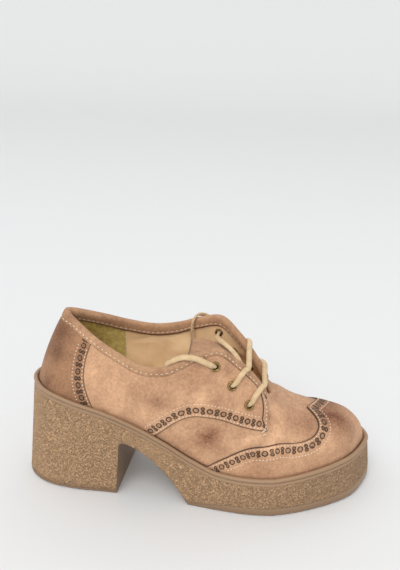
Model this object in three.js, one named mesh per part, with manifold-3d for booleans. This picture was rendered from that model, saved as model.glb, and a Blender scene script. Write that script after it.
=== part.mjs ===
// Block heel lace-up shoe, for the right foot, standing empty on its sole.
// Millimetres. +X points to the toe, +Y to the inner (medial) side, +Z up.

import * as THREE from 'three';
import { mergeVertices } from 'three/addons/utils/BufferGeometryUtils.js';
import Module from 'manifold-3d';

const wasm = await Module();
wasm.setup();

// Driving dimensions of the last and the moulded sole
const rimLength = 251;
const ballWidth = 93;
const heelRise = 79.5;
const platformHeight = 30;
const instepHeight = 90;
const toeSquareness = 2.4;

// Moulded unit sole
const beadWidth = 3.2;
const beadRound = 0.5;
const seatDepth = 2.6;
const beadHeight = 4;
const wallInset = 1;
const beadGroove = 0.8;
const rimBandHeight = 5.5;
const bandStep = 0.5;
const treadBandHeight = 9;
const treadChamfer = 1.1;
const floorTaper = 4;
const toeSpring = 2.5;
const springStart = 0.84;
const heelBreast = 65.5;
const breastLean = 3;
const archHeight = 45.8;
const breastFillet = 5;
const archEnd = 120;
const archBellyAlong = 0.58;
const archBellyHeight = 37;
const archSkew = THREE.MathUtils.degToRad(4.5);
const archPivot = -32.5;
const lugPitch = 10.5;
const lugGroove = 5.4;
const lugDepth = 1.2;

// Upper, its overlays and its edge binding
const wall = 2;
const fit = 0.3;
const overlayFit = 0.4;
const bindingFit = 0.65;
const upperInset = 5.2;
const overlayThickness = 1;
const counterThickness = 1.3;
const bindingWidth = 7.2;
const bindingThickness = 1.1;
const insoleThickness = 3;
const insoleEdge = 0.5;
const tongueThickness = 2.4;
const overlayStart = 0.01;
const overlayGap = 1.3;
const counterGap = 0.04;
const ribSteps = 7;

// Eyelets and lace
const eyeletRadius = 3.6;
const eyeletHole = 1.9;
const eyeletBarrel = 0.35;
const eyeletFlange = 0.8;
const eyeletSides = 10;
const laceRadius = 1.5;
const laceSides = 8;
const barBow = 0.2;
const barSteps = 15;
const endSteps = 20;
const flangeBase = overlayFit + overlayThickness + fit;
const barrelDepth = wall + fit;

const leatherColour = 0xa67a5c;
const soleColour = 0x8a7054;
const liningColour = 0xd8bd94;
const brassColour = 0x8a7442;
const laceColour = 0xb3946a;

// Sections from the heel back to the toe tip. along, lateral and medial give the rim of the sole,
// rise its height between platform and heel, taper how far the floor outline steps in, topAlong,
// topHalf, centre and height the edge or crest that the rib reaches, round how far the rib bends
// over from a plain wall to a vamp, and bulge how far it swells. Lengths are shares of rimLength,
// ballWidth, the heel's rise over the platform, floorTaper and instepHeight.
const sections = [
  { along: 0, lateral: -0.02, medial: 0.02, rise: 1, taper: -1.8, topAlong: 0.104, topHalf: 0,
    centre: 0.02, height: 0.563, round: 0, bulge: 0.024 },
  { along: 0.016, lateral: 0.12, medial: 0.167, rise: 0.996, taper: -1.6, topAlong: 0.112, topHalf: 0.043,
    centre: 0.02, height: 0.556, round: 0, bulge: 0.024 },
  { along: 0.06, lateral: 0.26, medial: 0.306, rise: 0.985, taper: -0.4, topAlong: 0.139, topHalf: 0.086,
    centre: 0.015, height: 0.537, round: 0, bulge: 0.025 },
  { along: 0.14, lateral: 0.34, medial: 0.355, rise: 0.91, taper: 0.4, topAlong: 0.195, topHalf: 0.183,
    centre: 0.005, height: 0.512, round: 0, bulge: 0.025 },
  { along: 0.235, lateral: 0.363, medial: 0.363, rise: 0.785, taper: 0.7, topAlong: 0.267, topHalf: 0.274,
    centre: 0, height: 0.5, round: 0, bulge: 0.022 },
  { along: 0.322, lateral: 0.38, medial: 0.355, rise: 0.616, taper: 0.6, topAlong: 0.339, topHalf: 0.355,
    centre: 0, height: 0.532, round: 0, bulge: 0.02 },
  { along: 0.402, lateral: 0.4, medial: 0.346, rise: 0.418, taper: 0.4, topAlong: 0.41, topHalf: 0.378,
    centre: 0, height: 0.657, round: 0, bulge: 0.018 },
  { along: 0.474, lateral: 0.417, medial: 0.362, rise: 0.206, taper: 0.1, topAlong: 0.478, topHalf: 0.323,
    centre: 0, height: 0.856, round: 0.05, bulge: 0.02 },
  { along: 0.542, lateral: 0.437, medial: 0.409, rise: 0.05, taper: -0.2, topAlong: 0.542, topHalf: 0.271,
    centre: 0, height: 0.986, round: 0.15, bulge: 0.03 },
  { along: 0.594, lateral: 0.454, medial: 0.459, rise: 0.007, taper: -0.3, topAlong: 0.594, topHalf: 0.217,
    centre: 0, height: 0.898, round: 0.25, bulge: 0.03 },
  { along: 0.633, lateral: 0.465, medial: 0.495, rise: -0.003, taper: -0.3, topAlong: 0.633, topHalf: 0.178,
    centre: 0.005, height: 0.779, round: 0.4, bulge: 0.03 },
  { along: 0.669, lateral: 0.467, medial: 0.52, rise: -0.003, taper: -0.3, topAlong: 0.667, topHalf: 0.143,
    centre: 0.01, height: 0.635, round: 0.6, bulge: 0.025 },
  { along: 0.697, lateral: 0.463, medial: 0.533, rise: 0, taper: -0.3, topAlong: 0.689, topHalf: 0.075,
    centre: 0.02, height: 0.528, round: 0.8, bulge: 0.015 },
  { along: 0.721, lateral: 0.454, medial: 0.538, rise: 0.004, taper: -0.3, topAlong: 0.7, topHalf: 0,
    centre: 0.03, height: 0.48, round: 1, bulge: 0 },
  { along: 0.777, lateral: 0.402, medial: 0.531, rise: 0.02, taper: -0.4, topAlong: 0.745, topHalf: 0,
    centre: 0.042, height: 0.39, round: 1, bulge: 0 },
  { along: 0.833, lateral: 0.33, medial: 0.522, rise: 0.04, taper: -0.5, topAlong: 0.805, topHalf: 0,
    centre: 0.058, height: 0.325, round: 1, bulge: 0 },
  { along: 0.888, lateral: 0.24, medial: 0.5, rise: 0.06, taper: -0.7, topAlong: 0.834, topHalf: 0,
    centre: 0.072, height: 0.292, round: 0.97, bulge: 0 },
  { along: 0.94, lateral: 0.12, medial: 0.455, rise: 0.077, taper: -1, topAlong: 0.851, topHalf: 0,
    centre: 0.083, height: 0.268, round: 0.93, bulge: 0 },
  { along: 0.978, lateral: -0.035, medial: 0.375, rise: 0.08, taper: -1, topAlong: 0.861, topHalf: 0,
    centre: 0.09, height: 0.257, round: 0.88, bulge: 0 },
  { along: 1, lateral: -0.205, medial: 0.205, rise: 0.08, taper: -1, topAlong: 0.864, topHalf: 0,
    centre: 0.092, height: 0.254, round: 0.86, bulge: 0 },
];
const toeSection = sections.length - 1;
const throatSection = 13;
const facingEnd = 11.5;

// How much lower the edge runs on the lateral side, and the width of the binding's outer fold
const lateralDip = [
  { section: 0, dip: 0 },
  { section: 1, dip: 0.012 },
  { section: 2, dip: 0.028 },
  { section: 3, dip: 0.035 },
  { section: 7, dip: 0.034 },
  { section: 8, dip: 0.03 },
  { section: 10, dip: 0.014 },
  { section: 12, dip: 0 },
];
const foldWidths = [
  { section: 0, width: 7.2 },
  { section: 2, width: 4.8 },
  { section: 3, width: 4.2 },
  { section: 8, width: 3.6 },
  { section: 9.2, width: 6.6 },
  { section: 10, width: 7.2 },
];

// Lower edge of the quarters: how far up the rib it runs at each section
const quarterEdge = [
  { section: 5.6, up: 0 },
  { section: 6, up: 0.2 },
  { section: 6.3, up: 0.313 },
  { section: 6.6, up: 0.385 },
  { section: 7, up: 0.427 },
  { section: 8.4, up: 0.426 },
  { section: 10, up: 0.427 },
  { section: 11.7, up: 0.475 },
];

// Front edge of the quarters, from their lower point up to the facing
const quarterFront = [
  { up: 0, section: 11.7 },
  { up: 0.5, section: 11.65 },
  { up: 0.8, section: 11.4 },
  { up: 1, section: 11 },
];

// Edge of the winged toe cap: the section where it crosses the rib at each height
const capEdge = [
  { up: 0, section: 7.65 },
  { up: 0.1, section: 8.3 },
  { up: 0.2, section: 9.4 },
  { up: 0.27, section: 10.5 },
  { up: 0.33, section: 12.6 },
  { up: 0.38, section: 14.1 },
  { up: 0.46, section: 14.9 },
  { up: 0.6, section: 15.35 },
  { up: 0.72, section: 15.45 },
  { up: 0.86, section: 15.3 },
  { up: 1, section: 14.95 },
];

// Front edge of the heel counter
const counterEdge = [
  { up: 0, section: 3.66 },
  { up: 0.2, section: 3.42 },
  { up: 0.4, section: 3.2 },
  { up: 0.7, section: 3.04 },
  { up: 1, section: 3.04 },
];

// Tongue, from under the vamp to its free end
const tongueRows = [
  { along: 0.745, height: 0.35, half: 0.16, drop: 0.03 },
  { along: 0.705, height: 0.395, half: 0.17, drop: 0.045 },
  { along: 0.673, height: 0.505, half: 0.175, drop: 0.06 },
  { along: 0.633, height: 0.645, half: 0.185, drop: 0.07 },
  { along: 0.594, height: 0.755, half: 0.19, drop: 0.06 },
  { along: 0.558, height: 0.82, half: 0.195, drop: 0.04 },
  { along: 0.518, height: 0.848, half: 0.195, drop: 0.015 },
  { along: 0.468, height: 0.85, half: 0.185, drop: -0.005 },
];

// Eyelets from the top down: section, height up the rib on each side, and where the bar from each
// crosses the facing's edge
const eyeletPlaces = [
  { section: 7.91, lateral: 0.866, medial: 0.84, edgeSection: 8.6 },
  { section: 8.78, lateral: 0.748, medial: 0.735, edgeSection: 9.6 },
  { section: 9.98, lateral: 0.648, medial: 0.635, edgeSection: 10.9 },
];

// Curve through evenly numbered values
function flow(a, b, c, d, t) {
  const start = (c - a) / 2;
  const end = (d - b) / 2;
  const gap = c - b;
  return b + start * t + (3 * gap - 2 * start - end) * t * t + (start + end - 2 * gap) * t * t * t;
}

// Column values of a table row, in millimetres. Past either end the other side's rows follow.
function sectionRow(index, side) {
  let i = index;
  let s = side;
  if (i < 0) {
    i = -i;
    s = -s;
  }
  if (i > toeSection) {
    i = 2 * toeSection - i;
    s = -s;
  }
  const row = sections[i];
  const riseOverPlatform = heelRise - platformHeight;
  const dip = s < 0 ? edgeAt(lateralDip, 'section', 'dip', i) : 0;
  return {
    x: row.along * rimLength,
    y: (s < 0 ? -row.lateral : row.medial) * ballWidth,
    z: platformHeight + row.rise * riseOverPlatform,
    taper: row.taper * floorTaper,
    topX: row.topAlong * rimLength,
    half: s * row.topHalf * ballWidth,
    centre: row.centre * ballWidth,
    height: (row.height - dip) * instepHeight,
    round: row.round,
    bulge: row.bulge * instepHeight,
  };
}

// The section at station, a number of sections from the heel back, on one side of the shoe
function sectionAt(station, side) {
  const i = Math.floor(station);
  const t = station - i;
  const rows = [i - 1, i, i + 1, i + 2].map((k) => sectionRow(k, side));
  const here = {};
  for (const key of Object.keys(rows[0])) {
    here[key] = flow(rows[0][key], rows[1][key], rows[2][key], rows[3][key], t);
  }
  if (station >= throatSection) {
    here.half = 0;
  }
  return here;
}

// Places around the shoe are counted from the heel back along the lateral side to the toe and
// back along the medial side.
const wholeTurn = 2 * toeSection;

function sideOf(place) {
  const p = ((place % wholeTurn) + wholeTurn) % wholeTurn;
  return p <= toeSection ? { station: p, side: -1 } : { station: wholeTurn - p, side: 1 };
}

// Level outward direction of the rim
function outwardAt(station, side) {
  const step = 0.05;
  const before = sectionAt(station - step, side);
  const after = sectionAt(station + step, side);
  const out = new THREE.Vector3(-(after.y - before.y), after.x - before.x, 0);
  return out.multiplyScalar(side).normalize();
}

function rimPoint(station, side, inset, drop) {
  const here = sectionAt(station, side);
  const out = outwardAt(station, side);
  return new THREE.Vector3(here.x - out.x * inset, here.y - out.y * inset, here.z - drop);
}

// Point of the upper's outer face, up being 0 at the sole and 1 at the edge or crest
function facePoint(station, side, up) {
  const here = sectionAt(station, side);
  const foot = rimPoint(station, side, upperInset, seatDepth - fit);
  const out = outwardAt(station, side);
  const angle = up * Math.PI / 2;
  const bend = 2 / toeSquareness;
  const inward = THREE.MathUtils.lerp(up, 1 - Math.max(Math.cos(angle), 0) ** bend, here.round);
  const upward = THREE.MathUtils.lerp(up, Math.sin(angle) ** bend, here.round);
  const swell = here.bulge * 4 * up * (1 - up);
  return new THREE.Vector3(
    foot.x + (here.topX - foot.x) * inward + out.x * swell,
    foot.y + (here.centre + here.half - foot.y) * inward + out.y * swell,
    foot.z + (here.z + here.height - foot.z) * upward,
  );
}

function sideNormal(station, side, up) {
  const step = 0.02;
  const low = facePoint(station, side, Math.max(up - step, 0));
  const high = facePoint(station, side, Math.min(up + step, 1));
  const level = Math.min(up, 1 - step);
  const back = facePoint(station - step, side, level);
  const front = facePoint(station + step, side, level);
  return front.sub(back).cross(high.sub(low)).multiplyScalar(-side).normalize();
}

// Outer face of the upper moved out by offset; on the crest both sides share one point
function upperPoint(place, up, offset) {
  const { station, side } = sideOf(place);
  const point = facePoint(station, side, up);
  const normal = sideNormal(station, side, up);
  if (up >= 1 && station >= throatSection) {
    normal.add(sideNormal(station, -side, up)).normalize();
  }
  return point.addScaledVector(normal, offset);
}

// Length of the rib at a place, close enough for widths measured from its edge
function ribLength(place) {
  const { station, side } = sideOf(place);
  return facePoint(station, side, 0).distanceTo(facePoint(station, side, 1));
}

// Mesh from vertices and triangles
function meshGeometry(points, faces) {
  const geometry = new THREE.BufferGeometry();
  const flat = points.flatMap((p) => [p.x, p.y, p.z]);
  geometry.setAttribute('position', new THREE.Float32BufferAttribute(flat, 3));
  geometry.setIndex(faces.flat());
  return geometry;
}

function quad(faces, a, b, c, d) {
  for (const face of [[a, b, c], [a, c, d]]) {
    if (new Set(face).size === 3) {
      faces.push(face);
    }
  }
}

// Places of the rings that go round the whole shoe
const closeStretches = [[0, 3], [7, 9], [11, 12], [13, toeSection]];
const halfPlaces = [];
for (let station = 0; station < toeSection; station += 1) {
  halfPlaces.push(station);
  if (closeStretches.some(([from, to]) => station >= from && station < to)) {
    halfPlaces.push(station + 0.5);
  }
}
const halfSteps = halfPlaces.length;
const ringSteps = 2 * halfSteps;
const mirroredPlaces = halfPlaces.slice(1).map((place) => wholeTurn - place).reverse();
const ringPlaces = [...halfPlaces, toeSection, ...mirroredPlaces];

// Solid between rings stacked upwards, closed across below and above
function stackRings(rings) {
  const points = rings.flat();
  const faces = [];
  const mirrorOf = (j) => (ringSteps - j) % ringSteps;
  const top = (rings.length - 1) * ringSteps;
  for (let k = 0; k + 1 < rings.length; k += 1) {
    for (let j = 0; j < ringSteps; j += 1) {
      const next = (j + 1) % ringSteps;
      const low = k * ringSteps;
      const high = low + ringSteps;
      quad(faces, low + j, low + next, high + next, high + j);
    }
  }
  for (let j = 0; j < halfSteps; j += 1) {
    quad(faces, mirrorOf(j), mirrorOf(j + 1), j + 1, j);
    quad(faces, top + j, top + j + 1, top + mirrorOf(j + 1), top + mirrorOf(j));
  }
  return meshGeometry(points, faces);
}

// Booleans
function toManifold(geometry) {
  const bare = geometry.clone();
  bare.deleteAttribute('normal');
  bare.deleteAttribute('uv');
  const merged = mergeVertices(bare);
  return new wasm.Manifold(new wasm.Mesh({
    numProp: 3,
    vertProperties: new Float32Array(merged.attributes.position.array),
    triVerts: new Uint32Array(merged.index.array),
  }));
}

function toGeometry(solid) {
  const mesh = solid.getMesh();
  const geometry = new THREE.BufferGeometry();
  geometry.setAttribute('position', new THREE.BufferAttribute(mesh.vertProperties, 3));
  geometry.setIndex(new THREE.BufferAttribute(mesh.triVerts, 1));
  return geometry;
}

function cut(geometry, cutters) {
  let solid = toManifold(geometry);
  for (const cutter of cutters) {
    solid = solid.subtract(toManifold(cutter));
  }
  return toGeometry(solid);
}

// Upright profile in X and Z, run across the shoe
function acrossPrism(shape) {
  const depth = 2 * ballWidth;
  const prism = new THREE.ExtrudeGeometry(shape, { depth, bevelEnabled: false, curveSegments: 8 });
  prism.translate(0, 0, -depth / 2);
  prism.rotateX(Math.PI / 2);
  return prism;
}

// Outer wall of the sole: a bead round the upper, a smooth band, the tall wall and a tread band
function springAt(x) {
  const share = Math.max(x / rimLength - springStart, 0) / (1 - springStart);
  return toeSpring * share * share;
}

function soleRing({ inset, drop, height }) {
  return ringPlaces.map((place) => {
    const { station, side } = sideOf(place);
    const here = sectionAt(station, side);
    if (drop !== undefined) {
      const fall = (drop / here.z) * here.taper;
      return rimPoint(station, side, inset + fall, drop);
    }
    const taper = here.taper * (1 - height / here.z);
    const point = rimPoint(station, side, inset + taper, 0);
    point.z = height + springAt(point.x);
    return point;
  });
}

function makeSole() {
  const wallTop = beadHeight + rimBandHeight;
  const body = stackRings([
    soleRing({ inset: wallInset + treadChamfer, height: 0 }),
    soleRing({ inset: wallInset, height: treadChamfer }),
    soleRing({ inset: wallInset, height: treadBandHeight - bandStep }),
    soleRing({ inset: wallInset - bandStep, height: treadBandHeight }),
    soleRing({ inset: wallInset - bandStep, drop: wallTop + bandStep }),
    soleRing({ inset: wallInset, drop: wallTop }),
    soleRing({ inset: wallInset + beadGroove, drop: beadHeight }),
    soleRing({ inset: beadRound, drop: beadHeight - beadRound }),
    soleRing({ inset: 0, drop: beadHeight / 2 }),
    soleRing({ inset: beadRound, drop: beadRound }),
    soleRing({ inset: beadWidth / 2, drop: 0 }),
    soleRing({ inset: beadWidth - beadRound, drop: beadRound }),
    soleRing({ inset: beadWidth, drop: seatDepth }),
  ]);
  return cut(body, [archCutter(), ...lugCutters()]);
}

// Hollow between the heel's breast and the platform, turned a little to follow the foot
function archCutter() {
  const below = -breastFillet;
  const top = new THREE.Vector2(heelBreast + breastLean, archHeight);
  const bellyX = THREE.MathUtils.lerp(top.x, archEnd, archBellyAlong);
  const shape = new THREE.Shape();
  shape.moveTo(heelBreast, below);
  shape.lineTo(top.x, top.y - breastFillet);
  shape.quadraticCurveTo(top.x, top.y, top.x + breastFillet, top.y - bandStep);
  shape.quadraticCurveTo(bellyX, archBellyHeight, archEnd, 0);
  shape.lineTo(archEnd, below);
  const prism = acrossPrism(shape);
  prism.translate(-heelBreast, -archPivot, 0);
  prism.rotateZ(-archSkew);
  prism.translate(heelBreast, archPivot, 0);
  return prism;
}

// Shallow grooves across the tread of heel and forepart
function lugCutters() {
  const cutters = [];
  for (let x = floorTaper; x < rimLength; x += lugPitch) {
    const overArch = x > heelBreast - lugPitch && x < archEnd + lugPitch;
    if (!overArch) {
      const shape = new THREE.Shape();
      shape.moveTo(x - lugGroove / 2, -lugDepth);
      shape.lineTo(x - lugGroove / 4, lugDepth + springAt(x));
      shape.lineTo(x + lugGroove / 4, lugDepth + springAt(x));
      shape.lineTo(x + lugGroove / 2, -lugDepth);
      cutters.push(acrossPrism(shape));
    }
  }
  return cutters;
}

// Insole: a thin bed on the seat, clear of the upper's wall
function makeInsole() {
  const edge = upperInset + wall + fit;
  const ring = (inset, rise) => ringPlaces.map((place) => {
    const { station, side } = sideOf(place);
    return rimPoint(station, side, inset, seatDepth - fit - rise);
  });
  return stackRings([
    ring(edge + insoleEdge / 2, 0),
    ring(edge + insoleEdge, insoleThickness / 2),
    ring(edge + 3 * insoleEdge, insoleThickness),
  ]);
}

// Upper: one hollow wall, open at collar, throat and underneath

// Closed wall between two offsets from the outer face
function makeWall(inner, outer) {
  const points = [];
  for (const offset of [outer, inner]) {
    for (let k = 0; k <= ribSteps; k += 1) {
      for (const place of ringPlaces) {
        const point = upperPoint(place, k / ribSteps, offset);
        if (k === 0) {
          point.z = upperPoint(place, 0, 0).z;
        }
        points.push(point);
      }
    }
  }
  const stationOf = (j) => sideOf(ringPlaces[j]).station;
  const layer = (ribSteps + 1) * ringSteps;
  const id = (face, k, j) => {
    const onCrest = k === ribSteps && stationOf(j) >= throatSection;
    const shared = onCrest && j > halfSteps ? ringSteps - j : j;
    return face * layer + k * ringSteps + shared;
  };
  const faces = [];
  for (let j = 0; j < ringSteps; j += 1) {
    const next = (j + 1) % ringSteps;
    for (let k = 0; k < ribSteps; k += 1) {
      quad(faces, id(0, k, j), id(0, k, next), id(0, k + 1, next), id(0, k + 1, j));
      quad(faces, id(1, k, j), id(1, k + 1, j), id(1, k + 1, next), id(1, k, next));
    }
    quad(faces, id(0, 0, j), id(1, 0, j), id(1, 0, next), id(0, 0, next));
    if (Math.min(stationOf(j), stationOf(next)) < throatSection) {
      const last = ribSteps;
      quad(faces, id(0, last, j), id(0, last, next), id(1, last, next), id(1, last, j));
    }
  }
  return meshGeometry(points, faces);
}

// Value of a short edge table at a key, straight between its rows
function edgeAt(table, key, value, at) {
  const next = Math.max(table.findIndex((row) => row[key] >= at), 1);
  const b = next < 1 ? table.length - 1 : next;
  const a = b - 1;
  const share = (at - table[a][key]) / (table[b][key] - table[a][key]);
  return THREE.MathUtils.lerp(table[a][value], table[b][value], THREE.MathUtils.clamp(share, 0, 1));
}

// Thick body over a patch of the upper, given by toPlace, that cuts an overlay to its outline
function makePatch({ acrossSteps, upSteps, toPlace, folded }) {
  const points = [];
  for (const offset of [-wall / 2, 2 * wall]) {
    for (let k = 0; k <= upSteps; k += 1) {
      for (let i = 0; i <= acrossSteps; i += 1) {
        const { place, up } = toPlace(i / acrossSteps, k / upSteps);
        points.push(upperPoint(place, up, offset));
      }
    }
  }
  const row = acrossSteps + 1;
  const layer = row * (upSteps + 1);
  const id = (outer, k, i) => {
    const shared = folded && k === upSteps && i > acrossSteps / 2 ? acrossSteps - i : i;
    return outer * layer + k * row + shared;
  };
  const faces = [];
  for (let k = 0; k < upSteps; k += 1) {
    for (let i = 0; i < acrossSteps; i += 1) {
      quad(faces, id(1, k, i), id(1, k, i + 1), id(1, k + 1, i + 1), id(1, k + 1, i));
      quad(faces, id(0, k, i + 1), id(0, k, i), id(0, k + 1, i), id(0, k + 1, i + 1));
    }
    quad(faces, id(0, k, 0), id(1, k, 0), id(1, k + 1, 0), id(0, k + 1, 0));
    quad(faces, id(1, k, acrossSteps), id(0, k, acrossSteps),
      id(0, k + 1, acrossSteps), id(1, k + 1, acrossSteps));
  }
  for (let i = 0; i < acrossSteps; i += 1) {
    quad(faces, id(0, 0, i), id(0, 0, i + 1), id(1, 0, i + 1), id(1, 0, i));
    if (!folded) {
      quad(faces, id(1, upSteps, i), id(1, upSteps, i + 1),
        id(0, upSteps, i + 1), id(0, upSteps, i));
    }
  }
  return meshGeometry(points, faces);
}

// Overlay: a larger wall just outside the upper's own face, kept within a patch. Crumbs that the
// two faceted faces leave beside it are dropped.
function makeOverlay(thickness, patch) {
  const larger = toManifold(makeWall(overlayFit, overlayFit + thickness));
  const pieces = larger.intersect(toManifold(makePatch(patch))).decompose();
  pieces.sort((a, b) => b.volume() - a.volume());
  return toGeometry(pieces[0]);
}

// Width of the binding's outer fold at a place
function foldWidth(place) {
  return edgeAt(foldWidths, 'section', 'width', sideOf(place).station);
}

// Overlays stop a gap short of the binding and start where the bead leaves them room
function overlayTop(place) {
  return 1 - (foldWidth(place) + overlayGap) / ribLength(place);
}

function counterPatch(across, up) {
  const reach = edgeAt(counterEdge, 'up', 'section', up) - counterGap;
  const place = THREE.MathUtils.lerp(-reach, reach, across);
  return { place, up: THREE.MathUtils.lerp(overlayStart, overlayTop(place), up) };
}

function quarterPatch(across, up) {
  const back = edgeAt(counterEdge, 'up', 'section', up) + counterGap;
  const front = edgeAt(quarterFront, 'up', 'section', up);
  const place = THREE.MathUtils.lerp(back, front, across);
  const low = Math.max(edgeAt(quarterEdge, 'section', 'up', place), overlayStart);
  return { place, up: THREE.MathUtils.lerp(low, overlayTop(place), up) };
}

function mirroredPatch(across, up) {
  const { place, up: height } = quarterPatch(1 - across, up);
  return { place: wholeTurn - place, up: height };
}

function capPatch(across, up) {
  const start = edgeAt(capEdge, 'up', 'section', up);
  const place = THREE.MathUtils.lerp(start, wholeTurn - start, across);
  return { place, up: THREE.MathUtils.lerp(overlayStart, 1, up) };
}

// Binding folded over the edge of collar and facings: a U section carried along the edge
function bindingSection(place) {
  const start = 1 - foldWidth(place) / ribLength(place);
  const innerStart = 1 - bindingWidth / ribLength(place);
  const outer = bindingFit + bindingThickness;
  const climb = upperPoint(place, 1, 0).sub(upperPoint(place, start, 0)).normalize();
  const at = (up, offset, rise) => upperPoint(place, up, offset).addScaledVector(climb, rise);
  return [
    at(start, bindingFit, 0),
    at(start, outer, 0),
    at(1, outer, bindingFit),
    at(1, -wall / 2, outer),
    at(1, -wall - outer, bindingFit),
    at(innerStart, -wall - outer, 0),
    at(innerStart, -wall - bindingFit, 0),
    at(1, -wall - bindingFit, bindingFit),
    at(1, bindingFit, bindingFit),
  ];
}

function makeBinding() {
  const along = [...halfPlaces.filter((place) => place < facingEnd), facingEnd];
  const back = along.slice(1).map((place) => -place).reverse();
  const rows = [...back, ...along].map(bindingSection);
  const steps = rows.length - 1;
  const size = rows[0].length;
  const faces = [];
  for (let i = 0; i < steps; i += 1) {
    for (let k = 0; k < size; k += 1) {
      const next = (k + 1) % size;
      const here = i * size;
      const ahead = here + size;
      if (next === 0) {
        quad(faces, here + next, here + k, ahead + k, ahead + next);
      } else {
        quad(faces, here + k, ahead + k, ahead + next, here + next);
      }
    }
  }
  const cap = [[0, 1, 2], [0, 2, 8], [8, 2, 3], [8, 3, 7], [7, 3, 4], [7, 4, 5], [7, 5, 6]];
  const end = steps * size;
  for (const [a, b, c] of cap) {
    faces.push([a, b, c]);
    faces.push([end + a, end + c, end + b]);
  }
  return meshGeometry(rows.flat(), faces);
}

// Tongue: an arched strip under the facings
function makeTongue() {
  const acrossSteps = 8;
  const rows = tongueRows.length;
  const points = [];
  for (const depth of [0, tongueThickness]) {
    for (const row of tongueRows) {
      for (let i = 0; i <= acrossSteps; i += 1) {
        const share = 2 * i / acrossSteps - 1;
        const x = row.along * rimLength;
        const y = share * row.half * ballWidth;
        const height = platformHeight + (row.height - row.drop * share * share) * instepHeight;
        points.push(new THREE.Vector3(x - depth / 2, y * (1 - depth / ballWidth), height - depth));
      }
    }
  }
  const width = acrossSteps + 1;
  const layer = rows * width;
  const faces = [];
  for (let k = 0; k + 1 < rows; k += 1) {
    for (let i = 0; i < acrossSteps; i += 1) {
      const a = k * width + i;
      quad(faces, a, a + 1, a + width + 1, a + width);
      quad(faces, layer + a + 1, layer + a, layer + a + width, layer + a + width + 1);
    }
    for (const [i, flip] of [[0, false], [acrossSteps, true]]) {
      const a = k * width + i;
      const side = [a, a + width, layer + a + width, layer + a];
      quad(faces, ...(flip ? side.reverse() : side));
    }
  }
  for (let i = 0; i < acrossSteps; i += 1) {
    const last = (rows - 1) * width + i;
    quad(faces, i + 1, i, layer + i, layer + i + 1);
    quad(faces, last, last + 1, layer + last + 1, layer + last);
  }
  return meshGeometry(points, faces);
}

// Frame of an eyelet: its centre on the outer face and the direction it faces
function eyeletFrame(spot, side) {
  const place = side < 0 ? spot.section : wholeTurn - spot.section;
  const up = side < 0 ? spot.lateral : spot.medial;
  const centre = upperPoint(place, up, 0);
  const axis = upperPoint(place, up, 1).sub(centre);
  const turn = new THREE.Quaternion().setFromUnitVectors(new THREE.Vector3(0, 1, 0), axis);
  return { centre, turn };
}

function makeEyelet() {
  const outer = eyeletHole + eyeletBarrel;
  const profile = [
    [eyeletHole, -barrelDepth],
    [outer, -barrelDepth],
    [outer, flangeBase],
    [eyeletRadius, flangeBase],
    [(eyeletRadius + eyeletHole) / 2, flangeBase + eyeletFlange],
    [eyeletHole, flangeBase + eyeletFlange / 2],
    [eyeletHole, -barrelDepth],
  ].map(([r, y]) => new THREE.Vector2(r, y));
  return new THREE.LatheGeometry(profile, eyeletSides);
}

function eyeletDrill(frame) {
  const radius = eyeletHole + eyeletBarrel + fit;
  const length = 4 * (wall + flangeBase);
  const drill = new THREE.CylinderGeometry(radius, radius, length, eyeletSides);
  drill.applyQuaternion(frame.turn);
  drill.translate(...frame.centre);
  return drill;
}

// Round lace along a hand-placed route
function makeLace(route, steps) {
  const curve = new THREE.CatmullRomCurve3(route);
  const shape = new THREE.Shape();
  for (let i = 0; i < laceSides; i += 1) {
    const angle = 2 * Math.PI * i / laceSides;
    const corner = [laceRadius * Math.cos(angle), laceRadius * Math.sin(angle)];
    if (i === 0) {
      shape.moveTo(...corner);
    } else {
      shape.lineTo(...corner);
    }
  }
  return new THREE.ExtrudeGeometry(shape, { steps, bevelEnabled: false, extrudePath: curve });
}

// Bar of lace over both facings, from eyelet to eyelet
function barRoute(spot) {
  const offLace = flangeBase + eyeletFlange + 2 * fit + laceRadius;
  const overEdge = bindingFit + bindingThickness + fit + laceRadius;
  const half = (side) => {
    const placeOf = (section) => (side < 0 ? section : wholeTurn - section);
    const up = side < 0 ? spot.lateral : spot.medial;
    const middle = (spot.section + spot.edgeSection) / 2;
    return [
      upperPoint(placeOf(spot.section), up, offLace),
      upperPoint(placeOf(middle), (up + 1) / 2, offLace),
      upperPoint(placeOf(spot.edgeSection), 1, overEdge),
    ];
  };
  const near = half(-1);
  const far = half(1).reverse();
  const centre = near[2].clone().add(far[0]).multiplyScalar(0.5);
  centre.addScaledVector(near[2].clone().sub(near[1]).setY(0), barBow);
  return [...near, centre, ...far];
}

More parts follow.
